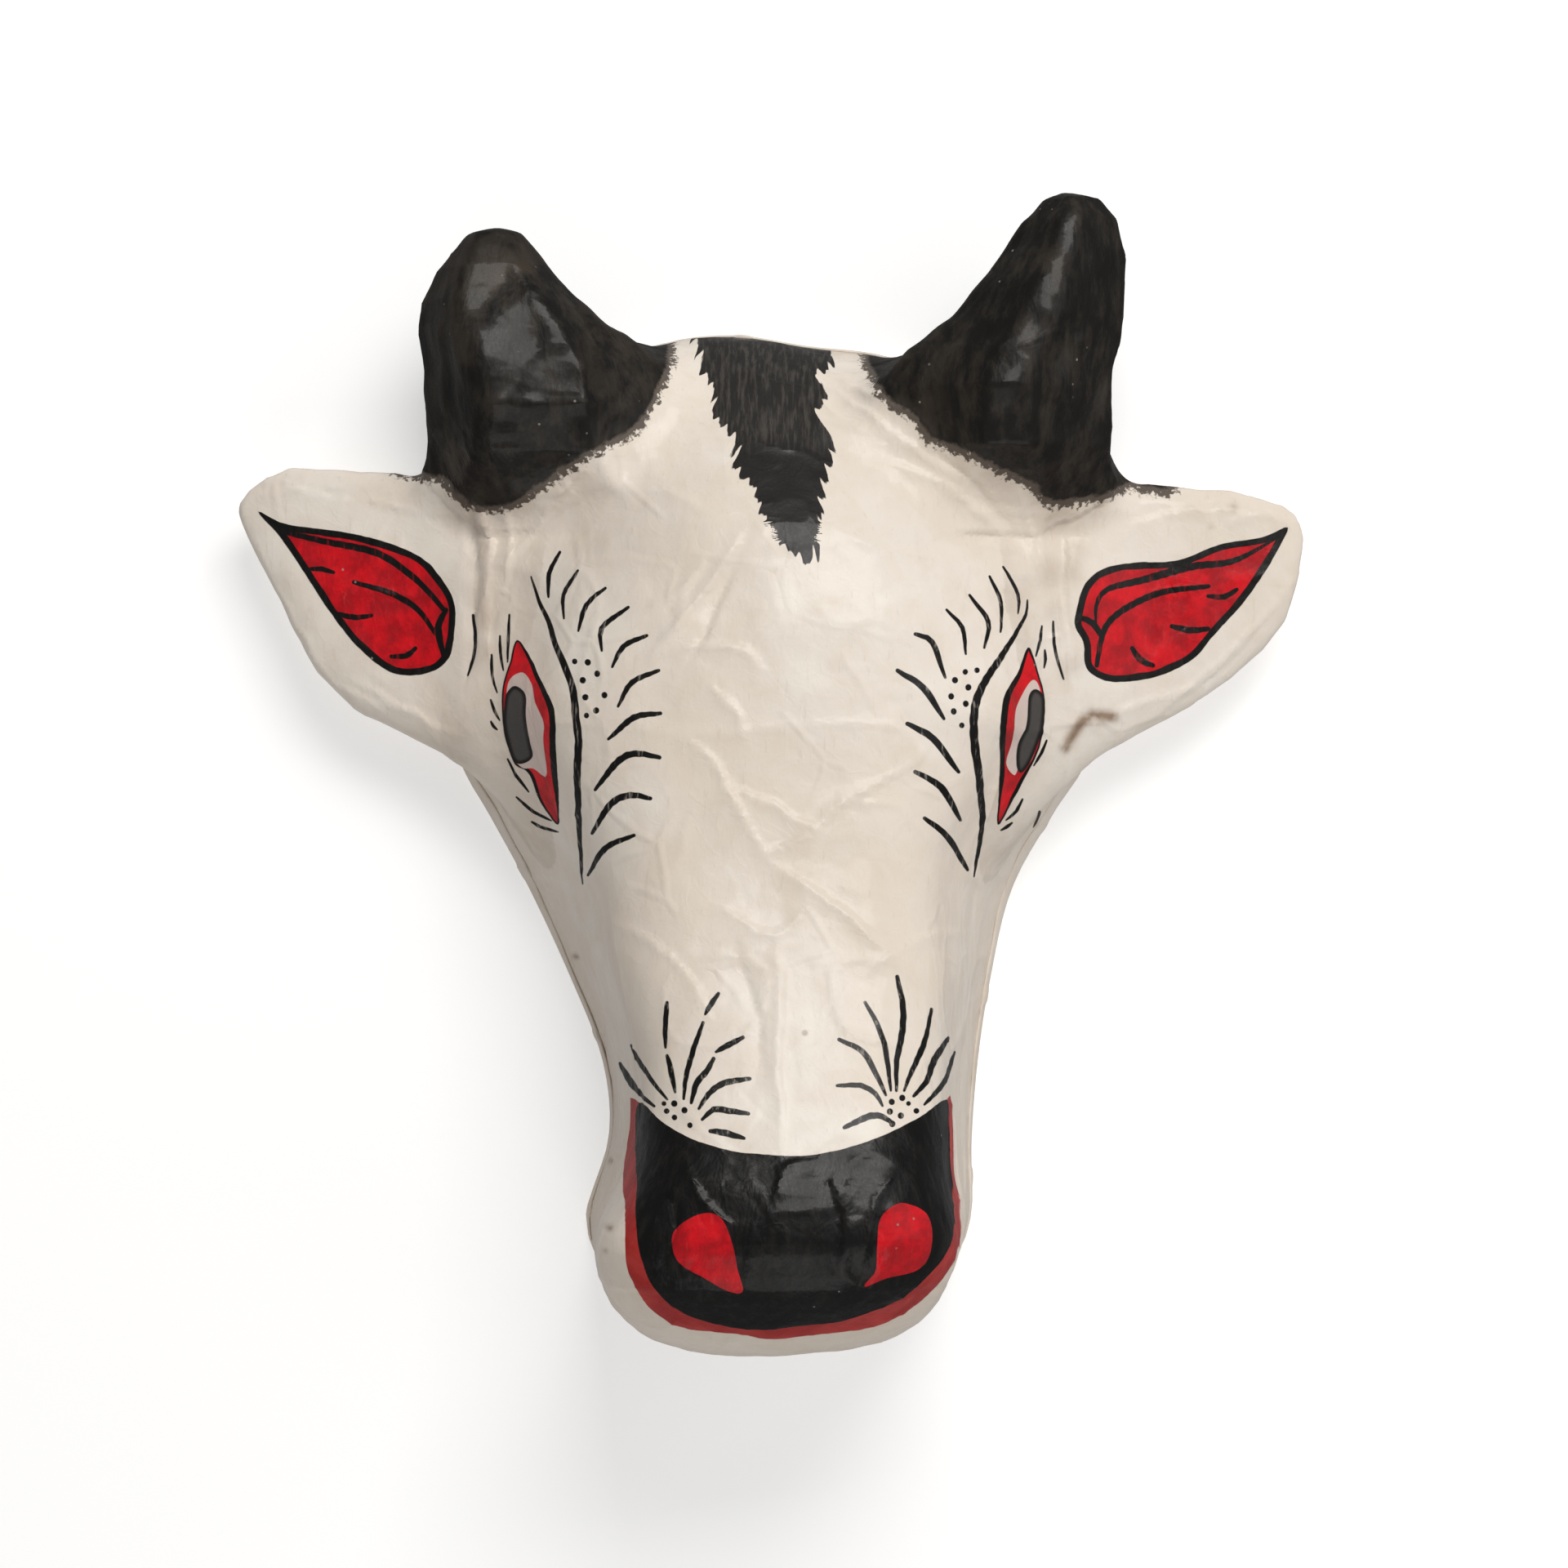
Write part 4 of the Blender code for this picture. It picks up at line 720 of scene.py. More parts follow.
STRIPS = []
for _i in range(190):
    STRIPS.append((rng.rand(), rng.rand(3), rng.rand(), rng.rand(), rng.rand()))


def strip_relief(p, normal, seeds):
    """Height and tone of torn paper strips laid over the surface one by one."""
    height, tone = np.zeros(len(p)), np.full(len(p), 0.5)
    edge = 1.3 * (noise(p, 3.0, 21) - 0.5) + 0.7 * (noise(p, 1.2, 22) - 0.5)
    for where, _, turn, long, wide in STRIPS:
        c = seeds[int(where * (len(seeds) - 1))]
        cp, cn = p[c], normal[c]
        t1 = np.cross(cn, [math.cos(turn * 9.1), math.sin(turn * 7.3), 0.31])
        t1 /= np.linalg.norm(t1) + 1e-9
        t2 = np.cross(cn, t1)
        hl, hw = 22 + 22 * long, 8 + 8 * wide
        box = np.nonzero((np.abs(p - cp) < hl + 3).all(axis=1))[0]
        q = p[box] - cp
        k = np.maximum(np.abs(q @ t1) - hl, np.abs(q @ t2) - hw) + edge[box]
        inn = step01(-k / 0.7 + 0.5) * (np.abs(q @ cn) < 16)
        height[box] = height[box] * (1 - 0.35 * inn) + inn * 0.11
        tone[box] = tone[box] * (1 - inn) + inn * ((turn * 37.7 + long * 13.1) % 1.0)
    return height, tone


def fold_relief(p):
    """Creases and crumples in the pasted paper, drawn in the plane."""
    u, v = plane(*p.T)
    out = np.zeros(len(p))
    wob = 1.6 * (noise(p, 6.0, 31) - 0.5)
    for amp, width, pts in FOLDS:
        curve = open_curve(pts, 5.0)
        who = near(u, v, curve, 14.0)
        if not len(who):
            continue
        dist, side, t = line_distance(curve, u[who] + wob[who], v[who] + wob[who])
        taper = np.sin(np.pi * np.clip(t * 0.92 + 0.04, 0, 1)) ** 0.6
        w = width * np.where(side > 0, 0.22, 0.95)
        out[who] += amp * 2.3 * taper * np.exp(-np.sqrt(dist ** 2 + 0.05) / w)
    return out


# ------------------------------------------------------------ materials


def tree(mat):
    mat.use_nodes = True
    nt = mat.node_tree
    nt.nodes.clear()
    out = nt.nodes.new("ShaderNodeOutputMaterial")
    bsdf = nt.nodes.new("ShaderNodeBsdfPrincipled")
    nt.links.new(bsdf.outputs[0], out.inputs[0])
    return nt, bsdf


class Build:
    """Short names for making a node tree."""

    def __init__(self, nt):
        self.nt = nt

    def put(self, socket, value):
        if hasattr(value, "links") or hasattr(value, "is_linked"):
            self.nt.links.new(value, socket)
        else:
            socket.default_value = value

    def attr(self, name):
        n = self.nt.nodes.new("ShaderNodeAttribute")
        n.attribute_name = name
        return n.outputs["Fac"]

    def coords(self):
        return self.nt.nodes.new("ShaderNodeTexCoord").outputs["Object"]

    def mapped(self, scale, turn=(0, 0, 0)):
        n = self.nt.nodes.new("ShaderNodeMapping")
        n.inputs["Scale"].default_value = scale
        n.inputs["Rotation"].default_value = turn
        self.nt.links.new(self.coords(), n.inputs["Vector"])
        return n.outputs[0]

    def noise(self, vector, scale, detail=3.0, rough=0.55, distort=0.0):
        n = self.nt.nodes.new("ShaderNodeTexNoise")
        self.nt.links.new(vector, n.inputs["Vector"])
        n.inputs["Scale"].default_value = scale
        n.inputs["Detail"].default_value = detail
        n.inputs["Roughness"].default_value = rough
        n.inputs["Distortion"].default_value = distort
        return n.outputs["Fac"]

    def voronoi(self, vector, scale, feature="F1"):
        n = self.nt.nodes.new("ShaderNodeTexVoronoi")
        n.feature = feature
        self.nt.links.new(vector, n.inputs["Vector"])
        n.inputs["Scale"].default_value = scale
        return n.outputs["Distance"]

    def math(self, op, a, b=0.0, c=0.0):
        n = self.nt.nodes.new("ShaderNodeMath")
        n.operation = op
        for s, val in zip(n.inputs, (a, b, c)):
            self.put(s, val)
        return n.outputs[0]

    def ramp(self, value, lo, hi, out_lo=0.0, out_hi=1.0):
        n = self.nt.nodes.new("ShaderNodeMapRange")
        n.interpolation_type = "SMOOTHSTEP"
        for s, val in zip(n.inputs, (value, lo, hi, out_lo, out_hi)):
            self.put(s, val)
        return n.outputs[0]

    def mix(self, fac, a, b):
        n = self.nt.nodes.new("ShaderNodeMix")
        n.data_type = "RGBA"
        self.put(n.inputs[0], fac)
        for s, val in ((n.inputs[6], a), (n.inputs[7], b)):
            self.put(s, (*val, 1.0) if isinstance(val, tuple) and len(val) == 3 else val)
        return n.outputs[2]

    def bump(self, height, strength, distance, normal=None):
        n = self.nt.nodes.new("ShaderNodeBump")
        n.inputs["Strength"].default_value = strength
        n.inputs["Distance"].default_value = distance
        self.nt.links.new(height, n.inputs["Height"])
        if normal is not None:
            self.nt.links.new(normal, n.inputs["Normal"])
        return n.outputs[0]


CREAM = (0.775, 0.690, 0.600)
CREAM_WARM = (0.700, 0.590, 0.470)
CREAM_PALE = (0.840, 0.775, 0.700)
# colour of real stains, also used for painted shade in hollows and on the steep sides
STAIN_AND_SHADE = (0.200, 0.110, 0.055)
BLACK = (0.0060, 0.0053, 0.0046)
BLACK_THIN = (0.030, 0.024, 0.018)
NOSE = (0.0032, 0.0029, 0.0027)
NOSE_THIN = (0.014, 0.012, 0.011)
RED = (0.680, 0.005, 0.012)
RED_DARK = (0.370, 0.005, 0.010)
EYE_WHITE = (0.640, 0.520, 0.470)
# grey painted reflection on the black pupils
PUPIL_SHEEN_GREY = (0.070, 0.064, 0.060)


def painted(name):
    """Pasted paper under cream, black and red paint and a yellowed varnish."""
    mat = bpy.data.materials.new(name)
    nt, bsdf = tree(mat)
    b = Build(nt)
    co = b.coords()
    wide = b.noise(co, 16.0, 4.0, 0.6, 0.3)
    mid = b.noise(co, 75.0, 4.0, 0.6, 0.4)
    fine = b.noise(co, 420.0, 3.0, 0.6)
    grit = b.noise(co, 1300.0, 2.0, 0.6)
    fibre = b.noise(b.mapped((1.0, 1.0, 0.16), (0.3, 0.5, 0.4)), 620.0, 3.0, 0.6)
    # cream: warm and pale patches, paper tone, and the grime layer: real grime and stains, with painted shade in the
    # root hollows, down the ear valleys and on the steep side walls
    base = b.mix(b.ramp(wide, 0.38, 0.66), CREAM, CREAM_PALE)
    base = b.mix(b.math("MULTIPLY", b.ramp(mid, 0.44, 0.72), 0.30), base, CREAM_WARM)
    base = b.mix(b.math("MULTIPLY", b.ramp(b.attr("tone"), 0.0, 1.0), 0.16), base, CREAM_WARM)
    base = b.mix(b.math("MULTIPLY", b.ramp(fibre, 0.60, 0.74), 0.16), base, (0.46, 0.37, 0.28))
    grime_and_shade = b.math("MULTIPLY", b.attr("grime_and_shade"), b.ramp(mid, 0.22, 0.62, 0.35, 1.0))
    base = b.mix(b.math("MINIMUM", grime_and_shade, 0.85), base, STAIN_AND_SHADE)
    spots = b.ramp(b.voronoi(co, 62.0), 0.035, 0.085, 1.0, 0.0)
    spots = b.math("MULTIPLY", spots, b.ramp(b.noise(co, 21.0, 2.0), 0.60, 0.68))
    base = b.mix(b.math("MULTIPLY", spots, 0.45), base, STAIN_AND_SHADE)
    # red lips and inner ears
    red = b.mix(b.ramp(b.noise(co, 120.0, 4.0, 0.65), 0.35, 0.68), RED_DARK, RED)
    red = b.mix(b.ramp(fibre, 0.60, 0.78, 0.0, 0.45), red, (0.72, 0.035, 0.035))
    lip = b.mix(b.ramp(mid, 0.35, 0.7), (0.36, 0.014, 0.012), (0.50, 0.040, 0.034))
    col = b.mix(b.ramp(b.attr("lip"), -0.12, 0.16, 1.0, 0.0), base, lip)
    # soft black of the horns: stippled, brownish at its edge
    horn = b.attr("horn_black")
    dab = b.math("MULTIPLY_ADD", b.math("SUBTRACT", b.noise(co, 560.0, 2.0, 0.6), 0.5), 9.0, horn)
    halo = b.ramp(dab, 1.5, 2.9, 1.0, 0.0)
    halo = b.math("MULTIPLY", halo, b.ramp(horn, 2.8, 5.2, 1.0, 0.0))
    worn = b.ramp(b.noise(b.mapped((1.0, 1.0, 0.30), (0.2, 0.3, 0.0)), 150.0, 4.0, 0.7), 0.40, 0.72)
    soft = b.mix(worn, BLACK, BLACK_THIN)
    soft = b.mix(b.math("MULTIPLY", b.attr("wear"), b.ramp(mid, 0.40, 0.60)), soft, (0.048, 0.036, 0.025))
    col = b.mix(b.math("MULTIPLY", halo, 0.90), col, (0.040, 0.025, 0.017))
    solid = b.ramp(b.math("MULTIPLY_ADD", b.math("SUBTRACT", fine, 0.5), 2.6, horn), -0.9, 0.35, 1.0, 0.0)
    col = b.mix(solid, col, soft)
    # forelock, drawn hair by hair; its upper part keeps the greyer hair as a painted sheen where it turns up to the
    # light, and the lower part is painted darker
    hair = b.noise(b.mapped((1.0, 0.12, 0.10), (0.0, 0.12, 0.0)), 900.0, 3.0, 0.6)
    fur = b.attr("fur")
    furcol = b.mix(b.ramp(hair, 0.42, 0.70), (0.022, 0.020, 0.018), (0.062, 0.055, 0.049))
    furcol = b.mix(b.attr("lock_below_sheen"), furcol, (0.016, 0.014, 0.013))
    furmask = b.ramp(b.math("MULTIPLY_ADD", b.math("SUBTRACT", hair, 0.5), 1.3, fur), -0.35, 0.15, 1.0, 0.0)
    col = b.mix(furmask, col, furcol)
    # hard black areas with a dry-brush grain
    black = b.mix(b.ramp(b.noise(b.mapped((1.0, 1.0, 0.25)), 300.0, 4.0, 0.65), 0.46, 0.78), NOSE, NOSE_THIN)
    blk = b.ramp(b.attr("black"), -0.12, 0.14, 1.0, 0.0)
    col = b.mix(blk, col, black)
    redmask = b.ramp(b.attr("red"), -0.14, 0.14, 1.0, 0.0)
    col = b.mix(redmask, col, red)
    col = b.mix(b.ramp(b.attr("white"), -0.14, 0.16, 1.0, 0.0), col, EYE_WHITE)
    # pupils: black paint with a grey painted reflection in the middle, darker towards the edge
    col = b.mix(b.ramp(b.attr("pupil"), -0.15, 0.15, 1.0, 0.0), col,
                b.mix(b.ramp(b.attr("pupil"), -1.7, -0.5), PUPIL_SHEEN_GREY, (0.012, 0.011, 0.010)))
    inkmask = b.ramp(b.attr("ink"), -0.14, 0.16, 1.0, 0.0)
    col = b.mix(b.math("MULTIPLY", inkmask, b.ramp(fibre, 0.30, 0.44, 0.75, 1.0)), col, (0.0045, 0.0041, 0.0038))
    # a few light chips in the black
    chip = b.ramp(b.voronoi(co, 190.0), 0.05, 0.10, 1.0, 0.0)
    chip = b.math("MULTIPLY", chip, b.ramp(b.noise(co, 60.0, 2.0), 0.55, 0.61))
    chip = b.math("MULTIPLY", chip, b.math("MAXIMUM", solid, blk))
    col = b.mix(b.math("MULTIPLY", chip, 0.55), col, (0.38, 0.34, 0.30))
    nt.links.new(col, bsdf.inputs["Base Color"])
    # varnish: brushed on, with duller patches
    rough = b.ramp(mid, 0.30, 0.75, 0.34, 0.52)
    rough = b.math("ADD", rough, b.ramp(grit, 0.35, 0.7, 0.0, 0.10))
    rough = b.math("ADD", rough, b.math("MULTIPLY", b.attr("grime_and_shade"), 0.18))
    rough = b.math("ADD", rough, b.math("MULTIPLY", solid, 0.07))
    nt.links.new(rough, bsdf.inputs["Roughness"])
    bsdf.inputs["Specular IOR Level"].default_value = 0.20
    bsdf.inputs["Coat Weight"].default_value = 0.13
    bsdf.inputs["Coat Roughness"].default_value = 0.14
    crinkle = b.math("ABSOLUTE", b.math("SUBTRACT", b.noise(co, 95.0, 3.0, 0.55, 0.8), 0.5))
    crinkle = b.ramp(crinkle, 0.0, 0.09, 1.0, 0.0)
    bent = nt.nodes.new("ShaderNodeMix")
    bent.data_type = "VECTOR"
    bent.inputs[0].default_value = 0.012
    nt.links.new(co, bent.inputs[4])
    swirl = nt.nodes.new("ShaderNodeTexNoise")
    swirl.inputs["Scale"].default_value = 30.0
    nt.links.new(co, swirl.inputs["Vector"])
    nt.links.new(swirl.outputs["Color"], bent.inputs[5])
    crease = b.ramp(b.voronoi(bent.outputs[1], 42.0, "DISTANCE_TO_EDGE"), 0.0, 0.085, 1.0, 0.0)
    crease = b.math("MULTIPLY", crease, b.ramp(b.noise(co, 26.0, 2.0), 0.46, 0.62))
    facet = b.math("MULTIPLY", b.voronoi(bent.outputs[1], 42.0), b.ramp(b.noise(co, 19.0, 2.0), 0.40, 0.60))
    height = b.math("MULTIPLY_ADD", crinkle, 0.12, b.math("MULTIPLY", mid, 0.9))
    height = b.math("MULTIPLY_ADD", fine, 0.22, height)
    height = b.math("MULTIPLY_ADD", crease, 0.75, height)
    height = b.math("MULTIPLY_ADD", facet, 1.3, height)
    brushed = b.math("MULTIPLY", b.noise(b.mapped((1.0, 1.0, 0.45), (0.1, 0.2, 0.0)), 130.0, 3.0, 0.6, 0.6), b.math("MAXIMUM", solid, blk))
    height = b.math("MULTIPLY_ADD", brushed, 2.4, height)
    height = b.math("MULTIPLY_ADD", fibre, 0.16, height)
    nt.links.new(b.bump(height, 0.55, 0.00050), bsdf.inputs["Normal"])
    return mat


def papery(name, dark, light, grey, scale, marks=0.0):
    """Bare pasted paper: overlapping strips, fibres and glue stains."""
    mat = bpy.data.materials.new(name)
    nt, bsdf = tree(mat)
    b = Build(nt)
    co = b.coords()
    wide = b.noise(co, 22.0, 4.0, 0.6, 0.5)
    fibre = b.noise(b.mapped((1.0, 1.0, 0.2), (0.2, 0.6, 0.3)), scale, 4.0, 0.7)
    col = b.mix(b.ramp(wide, 0.35, 0.68), dark, light)
    col = b.mix(b.math("MULTIPLY", b.ramp(b.attr("tone"), 0.0, 1.0), 0.55), col, grey)
    col = b.mix(b.ramp(fibre, 0.52, 0.75, 0.0, 0.5), col, tuple(0.55 * c for c in dark))
    glue = b.ramp(b.noise(co, 55.0, 3.0, 0.6, 1.2), 0.56, 0.64, 0.0, 0.35)
    col = b.mix(glue, col, tuple(0.72 * c for c in light))
    if marks:
        speck = b.ramp(b.voronoi(co, 480.0), 0.10, 0.22, 1.0, 0.0)
        col = b.mix(b.math("MULTIPLY", speck, marks), col, (0.10, 0.10, 0.10))
    nt.links.new(col, bsdf.inputs["Base Color"])
    nt.links.new(b.ramp(fibre, 0.3, 0.8, 0.68, 0.92), bsdf.inputs["Roughness"])
    bsdf.inputs["Specular IOR Level"].default_value = 0.3
    height = b.math("MULTIPLY_ADD", fibre, 0.5, b.noise(co, 130.0, 4.0, 0.6))
    nt.links.new(b.bump(height, 0.6, 0.0006), bsdf.inputs["Normal"])
    return mat


# ------------------------------------------------------------ pieces


def piece(name, verts, tris, normals, inward, layers, mat, inner_mat, nodes):
    """A closed sheet of pasted paper from a patch of the outer surface."""
    used, flat = np.unique(tris, return_inverse=True)
    t = flat.reshape(-1, 3)
    v, nrm = verts[used], normals[used]
    n = len(used)
    back = v - nrm * inward[used][:, None]
    back[:, 1] = np.maximum(back[:, 1], RIM_D)
    edges, inv, cnt = edge_table(t, n)
    order = np.stack([t[:, [0, 1]], t[:, [1, 2]], t[:, [2, 0]]], axis=1).reshape(-1, 2)
    rim = order[cnt[inv.ravel()] == 1]
    wall = np.vstack([np.stack([rim[:, 1], rim[:, 0], rim[:, 0] + n], 1),
                      np.stack([rim[:, 1], rim[:, 0] + n, rim[:, 1] + n], 1)])
    faces = np.vstack([t, t[:, ::-1] + n, wall])
    pts = np.vstack([v, back])
    pts = np.stack([pts[:, 0], -pts[:, 1], pts[:, 2]], axis=1) * 0.001
    faces = faces[:, ::-1]
    mesh = bpy.data.meshes.new(name)
    mesh.vertices.add(len(pts))
    mesh.vertices.foreach_set("co", pts.astype(np.float32).ravel())
    mesh.loops.add(len(faces) * 3)
    mesh.loops.foreach_set("vertex_index", faces.astype(np.int32).ravel())
    mesh.polygons.add(len(faces))
    mesh.polygons.foreach_set("loop_start", np.arange(0, len(faces) * 3, 3, dtype=np.int32))
    mesh.update(calc_edges=True)
    mesh.polygons.foreach_set("use_smooth", np.ones(len(faces), bool))
    for key, values in layers.items():
        a = mesh.attributes.new(key, "FLOAT", "POINT")
        w = values[used]
        a.data.foreach_set("value", np.concatenate([w, w]).astype(np.float32))
    mesh.materials.append(mat)
    mesh.materials.append(inner_mat)
    which = np.zeros(len(faces), np.int32)
    which[len(t):] = 1
    mesh.polygons.foreach_set("material_index", which)
    joint = np.stack([nrm[:, 0], -nrm[:, 1], nrm[:, 2]], axis=1)
    a, c, e = pts[faces[:, 0]], pts[faces[:, 1]], pts[faces[:, 2]]
    fn = np.cross(c - a, e - a)
    fn /= np.maximum(np.linalg.norm(fn, axis=1), 1e-12)[:, None]
    corner = np.repeat(fn[:, None, :], 3, axis=1)
    both = np.vstack([joint, -joint])
    corner[:2 * len(t)] = both[faces[:2 * len(t)]]
    mesh.normals_split_custom_set(corner.reshape(-1, 3).astype(np.float32))
    obj = bpy.data.objects.new(name, mesh)
    bpy.context.scene.collection.objects.link(obj)
    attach(obj, "root")
    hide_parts(*nodes)
    return obj


def grid_surface(field, h, lo, hi):
    xs = np.arange(lo[0], hi[0] + h, h)
    ds = RIM_D + np.arange(0, int((hi[1] - RIM_D) / h) + 2) * h
    zs = np.arange(lo[2], hi[2] + h, h)
    value = field(xs[:, None, None], ds[None, :, None], zs[None, None, :])
    return surface_net(np.ascontiguousarray(value, dtype=np.float32), np.array([xs[0], RIM_D, zs[0]]), h)


# the outer surface of head, horns and ears, as one skin to be cut into pieces
V, T = grid_surface(body, STEP, (-171, 0, -183), (171, 135, 182))
RIMS = np.zeros(len(V), bool)
RIMS[boundary(T, len(V))] = True
V[RIMS, 1] = RIM_D
V = settle(body, V, 3, RIMS)
g = gradient(body, V)
if (vertex_normals(V, T) * g).sum() < 0:
    T = T[:, ::-1]


def thin_paint(pts):
    u, v = plane(*pts.T)
    out = ink_distance(u, v)
    for area, reach in ((EYE_LEFT, 3), (EYE_RIGHT, 3), (EYE_WHITE_LEFT, 3), (EYE_WHITE_RIGHT, 3),
                        (PUPIL_LEFT, 3), (PUPIL_RIGHT, 3), (LEAF_LEFT, 3), (LEAF_RIGHT, 3),
                        (MUZZLE_BLACK, 3), (MOUTH_RED, 3), (NOSTRIL_LEFT, 3), (NOSTRIL_RIGHT, 3)):
        out = np.minimum(out, np.abs(area_distance(area, u, v, reach)))
    return np.minimum(out, np.maximum(np.abs(area_distance(FORELOCK, u, v, 7)) - 2.6, 0))


for _round, _target in ((0, 0.95), (1, 0.50)):
    def wanted(verts, edges, target=_target):
        length = np.linalg.norm(verts[edges[:, 0]] - verts[edges[:, 1]], axis=1)
        front = verts[:, 1] > 8
        closeness = np.full(len(verts), 9.0)
        closeness[front] = thin_paint(verts[front])
        m = np.minimum(closeness[edges[:, 0]], closeness[edges[:, 1]])
        return (length > target) & (m < 0.55 * length + 0.25)
    V, T = refine(V, T, wanted)
RIMS = np.zeros(len(V), bool)
RIMS[boundary(T, len(V))] = True
V = settle(body, V, 1, RIMS)
NB = gradient(body, V)
NB /= np.linalg.norm(NB, axis=1)[:, None]

# which piece each triangle belongs to, from the smooth surface
H, HORNS, EARS = parts(*V.T)
C = V[T].mean(axis=1)
hc, oc, ec = parts(*C.T)
is_horn = oc < ec
right = C[:, 0] > 0
seam = 0.5 * (noise(C, 5.0, 51) - 0.5)
kind = np.zeros(len(T), int)              # 0 face
kind[(hc > 0.30) & is_horn] = 1           # horn strip
kind[(hc > 4.2 + seam) & is_horn] = 2     # horn skin
kind[(hc > 0.30) & ~is_horn] = 3          # ear strip
kind[(hc > 3.6 + seam) & ~is_horn] = 4    # ear skin
ear_mid = np.where(right, np.interp(np.abs(C[:, 0]), [74, 104, 167], [28, 26, 20]),
                   np.interp(np.abs(C[:, 0]), [74, 104, 167], [28, 26, 20]))
front = C[:, 1] > ear_mid

# a loose island of a piece goes to the neighbour that it touches most
sides = np.sort(np.vstack([T[:, [0, 1]], T[:, [1, 2]], T[:, [2, 0]]]), axis=1)
owner = np.tile(np.arange(len(T)), 3)
order = np.lexsort((sides[:, 1], sides[:, 0]))
sides, owner = sides[order], owner[order]
shared = (sides[1:] == sides[:-1]).all(axis=1)
one, two = owner[:-1][shared], owner[1:][shared]
for _ in range(2):
    code = np.where(kind == 0, 0, kind * 4 + right * 2 + np.where(kind > 2, front, False))
    for c in np.unique(code[kind > 0]):
        inside = (code[one] == c) & (code[two] == c)
        root_of = np.where(code == c, np.arange(len(T)), -1)
        ea, eb = one[inside], two[inside]
        while True:
            low = np.minimum(root_of[ea], root_of[eb])
            new = root_of.copy()
            np.minimum.at(new, ea, low)
            np.minimum.at(new, eb, low)
            held = new >= 0
            new[held] = new[new[held]]
            if (new == root_of).all():
                break
            root_of = new
        names, sizes = np.unique(root_of[root_of >= 0], return_counts=True)
        for island in names[sizes < sizes.max()]:
            part_of = root_of == island
            edge = part_of[one] != part_of[two]
            beside = np.where(part_of[one[edge]], two[edge], one[edge])
            if len(beside):
                counts = np.bincount(code[beside])
                goes = int(np.argmax(counts))
                code[part_of] = goes
                kind[part_of] = goes // 4
                if goes >= 12:
                    front[part_of] = bool(goes % 2)

# relief of the pasted paper
where = np.nonzero(V[:, 1] > 0)[0]
relief, tone = strip_relief(V, NB, where)
lump = 1.5 * (noise(V, 30.0, 1) - 0.5) + 0.75 * (noise(V, 12.0, 2) - 0.5) + 0.22 * (noise(V, 4.5, 5) - 0.5)
ridge = (1 - 2 * np.abs(noise(V, 24.0, 8) - 0.5)) ** 10 * 0.42 + (1 - 2 * np.abs(noise(V, 9.0, 9) - 0.5)) ** 10 * 0.07
on_horn = step01((H - 2) / 10) * (HORNS < EARS)
lump = lump + on_horn * (2.4 * (noise(V, 22.0, 12) - 0.5) + 1.5 * (noise(V, 8.0, 13) - 0.5))
keep = step01((V[:, 1] - RIM_D) / 10)
move = (lump * 0.9 + relief + ridge + fold_relief(V)) * keep
V2 = V + NB * move[:, None]
V2[RIMS] = V[RIMS]
N = vertex_normals(V2, T)

# layers of paint, grime and wear; the grime layer also holds painted shade
LAYERS = {}
LAYERS.update(paint(V))
LAYERS["tone"] = tone
# painted shade in the hollow where each horn and ear joins the head
root = np.exp(-((H - 1.2) / 4.0) ** 2) * (np.minimum(HORNS, EARS) < 9) * (EARS < HORNS + 14)
u, v = plane(*V.T)
# small real stains, and wide blots of painted shade along the ear and horn root valleys
stain_and_shade = 0.0
for bx, bz, br, power in STAINS_AND_ROOT_SHADE:
    stain_and_shade = np.maximum(stain_and_shade, power * np.exp(-((u - bx) ** 2 + (v - bz) ** 2) / br ** 2))
# one real brown smudge and two lines of painted shade down the ear valleys
for power, wide, pts in MARKS_AND_VALLEY_SHADE:
    dist, _, _ = line_distance(pts, u, v)
    stain_and_shade = np.maximum(stain_and_shade, power * np.exp(-(dist / wide) ** 2) * (V[:, 1] > 4))
# darker towards the cut edge
rim_darkening = 0.16 * np.exp(-np.maximum(V[:, 1] - RIM_D, 0) / 9.0)
# also darker towards the bottom of the muzzle, and painted shade on the steep side walls that turn away from the front
LAYERS["grime_and_shade"] = np.clip(0.20 * root + stain_and_shade + rim_darkening + 0.10 * np.clip((-150 - V[:, 2]) / 25, 0, 1)
                            + 0.10 * step01((0.45 - NB[:, 1]) / 0.4), 0, 1)
LAYERS["wear"] = np.clip(on_horn * step01((noise(V, 20.0, 61) - 0.5) * 5) * 0.35
                         + 0.8 * np.exp(-((u + 88) ** 2 + (v - 160) ** 2) / 60), 0, 1)
# below this the forelock is painted darker; above it the greyer hair stands as a painted sheen
LAYERS["lock_below_sheen"] = step01((112 - v) / 10)

inner = papery("paper_lining", (0.30, 0.21, 0.12), (0.46, 0.36, 0.24), (0.52, 0.49, 0.43), 500.0, 0.35)
face_mat = painted("painted_face")
horn_mat = painted("horn_paint")
ear_red = painted("ear_red_paint")
ear_cream = painted("ear_cream_paint")
strip_dark = painted("strip_black")
strip_light = painted("strip_cream")

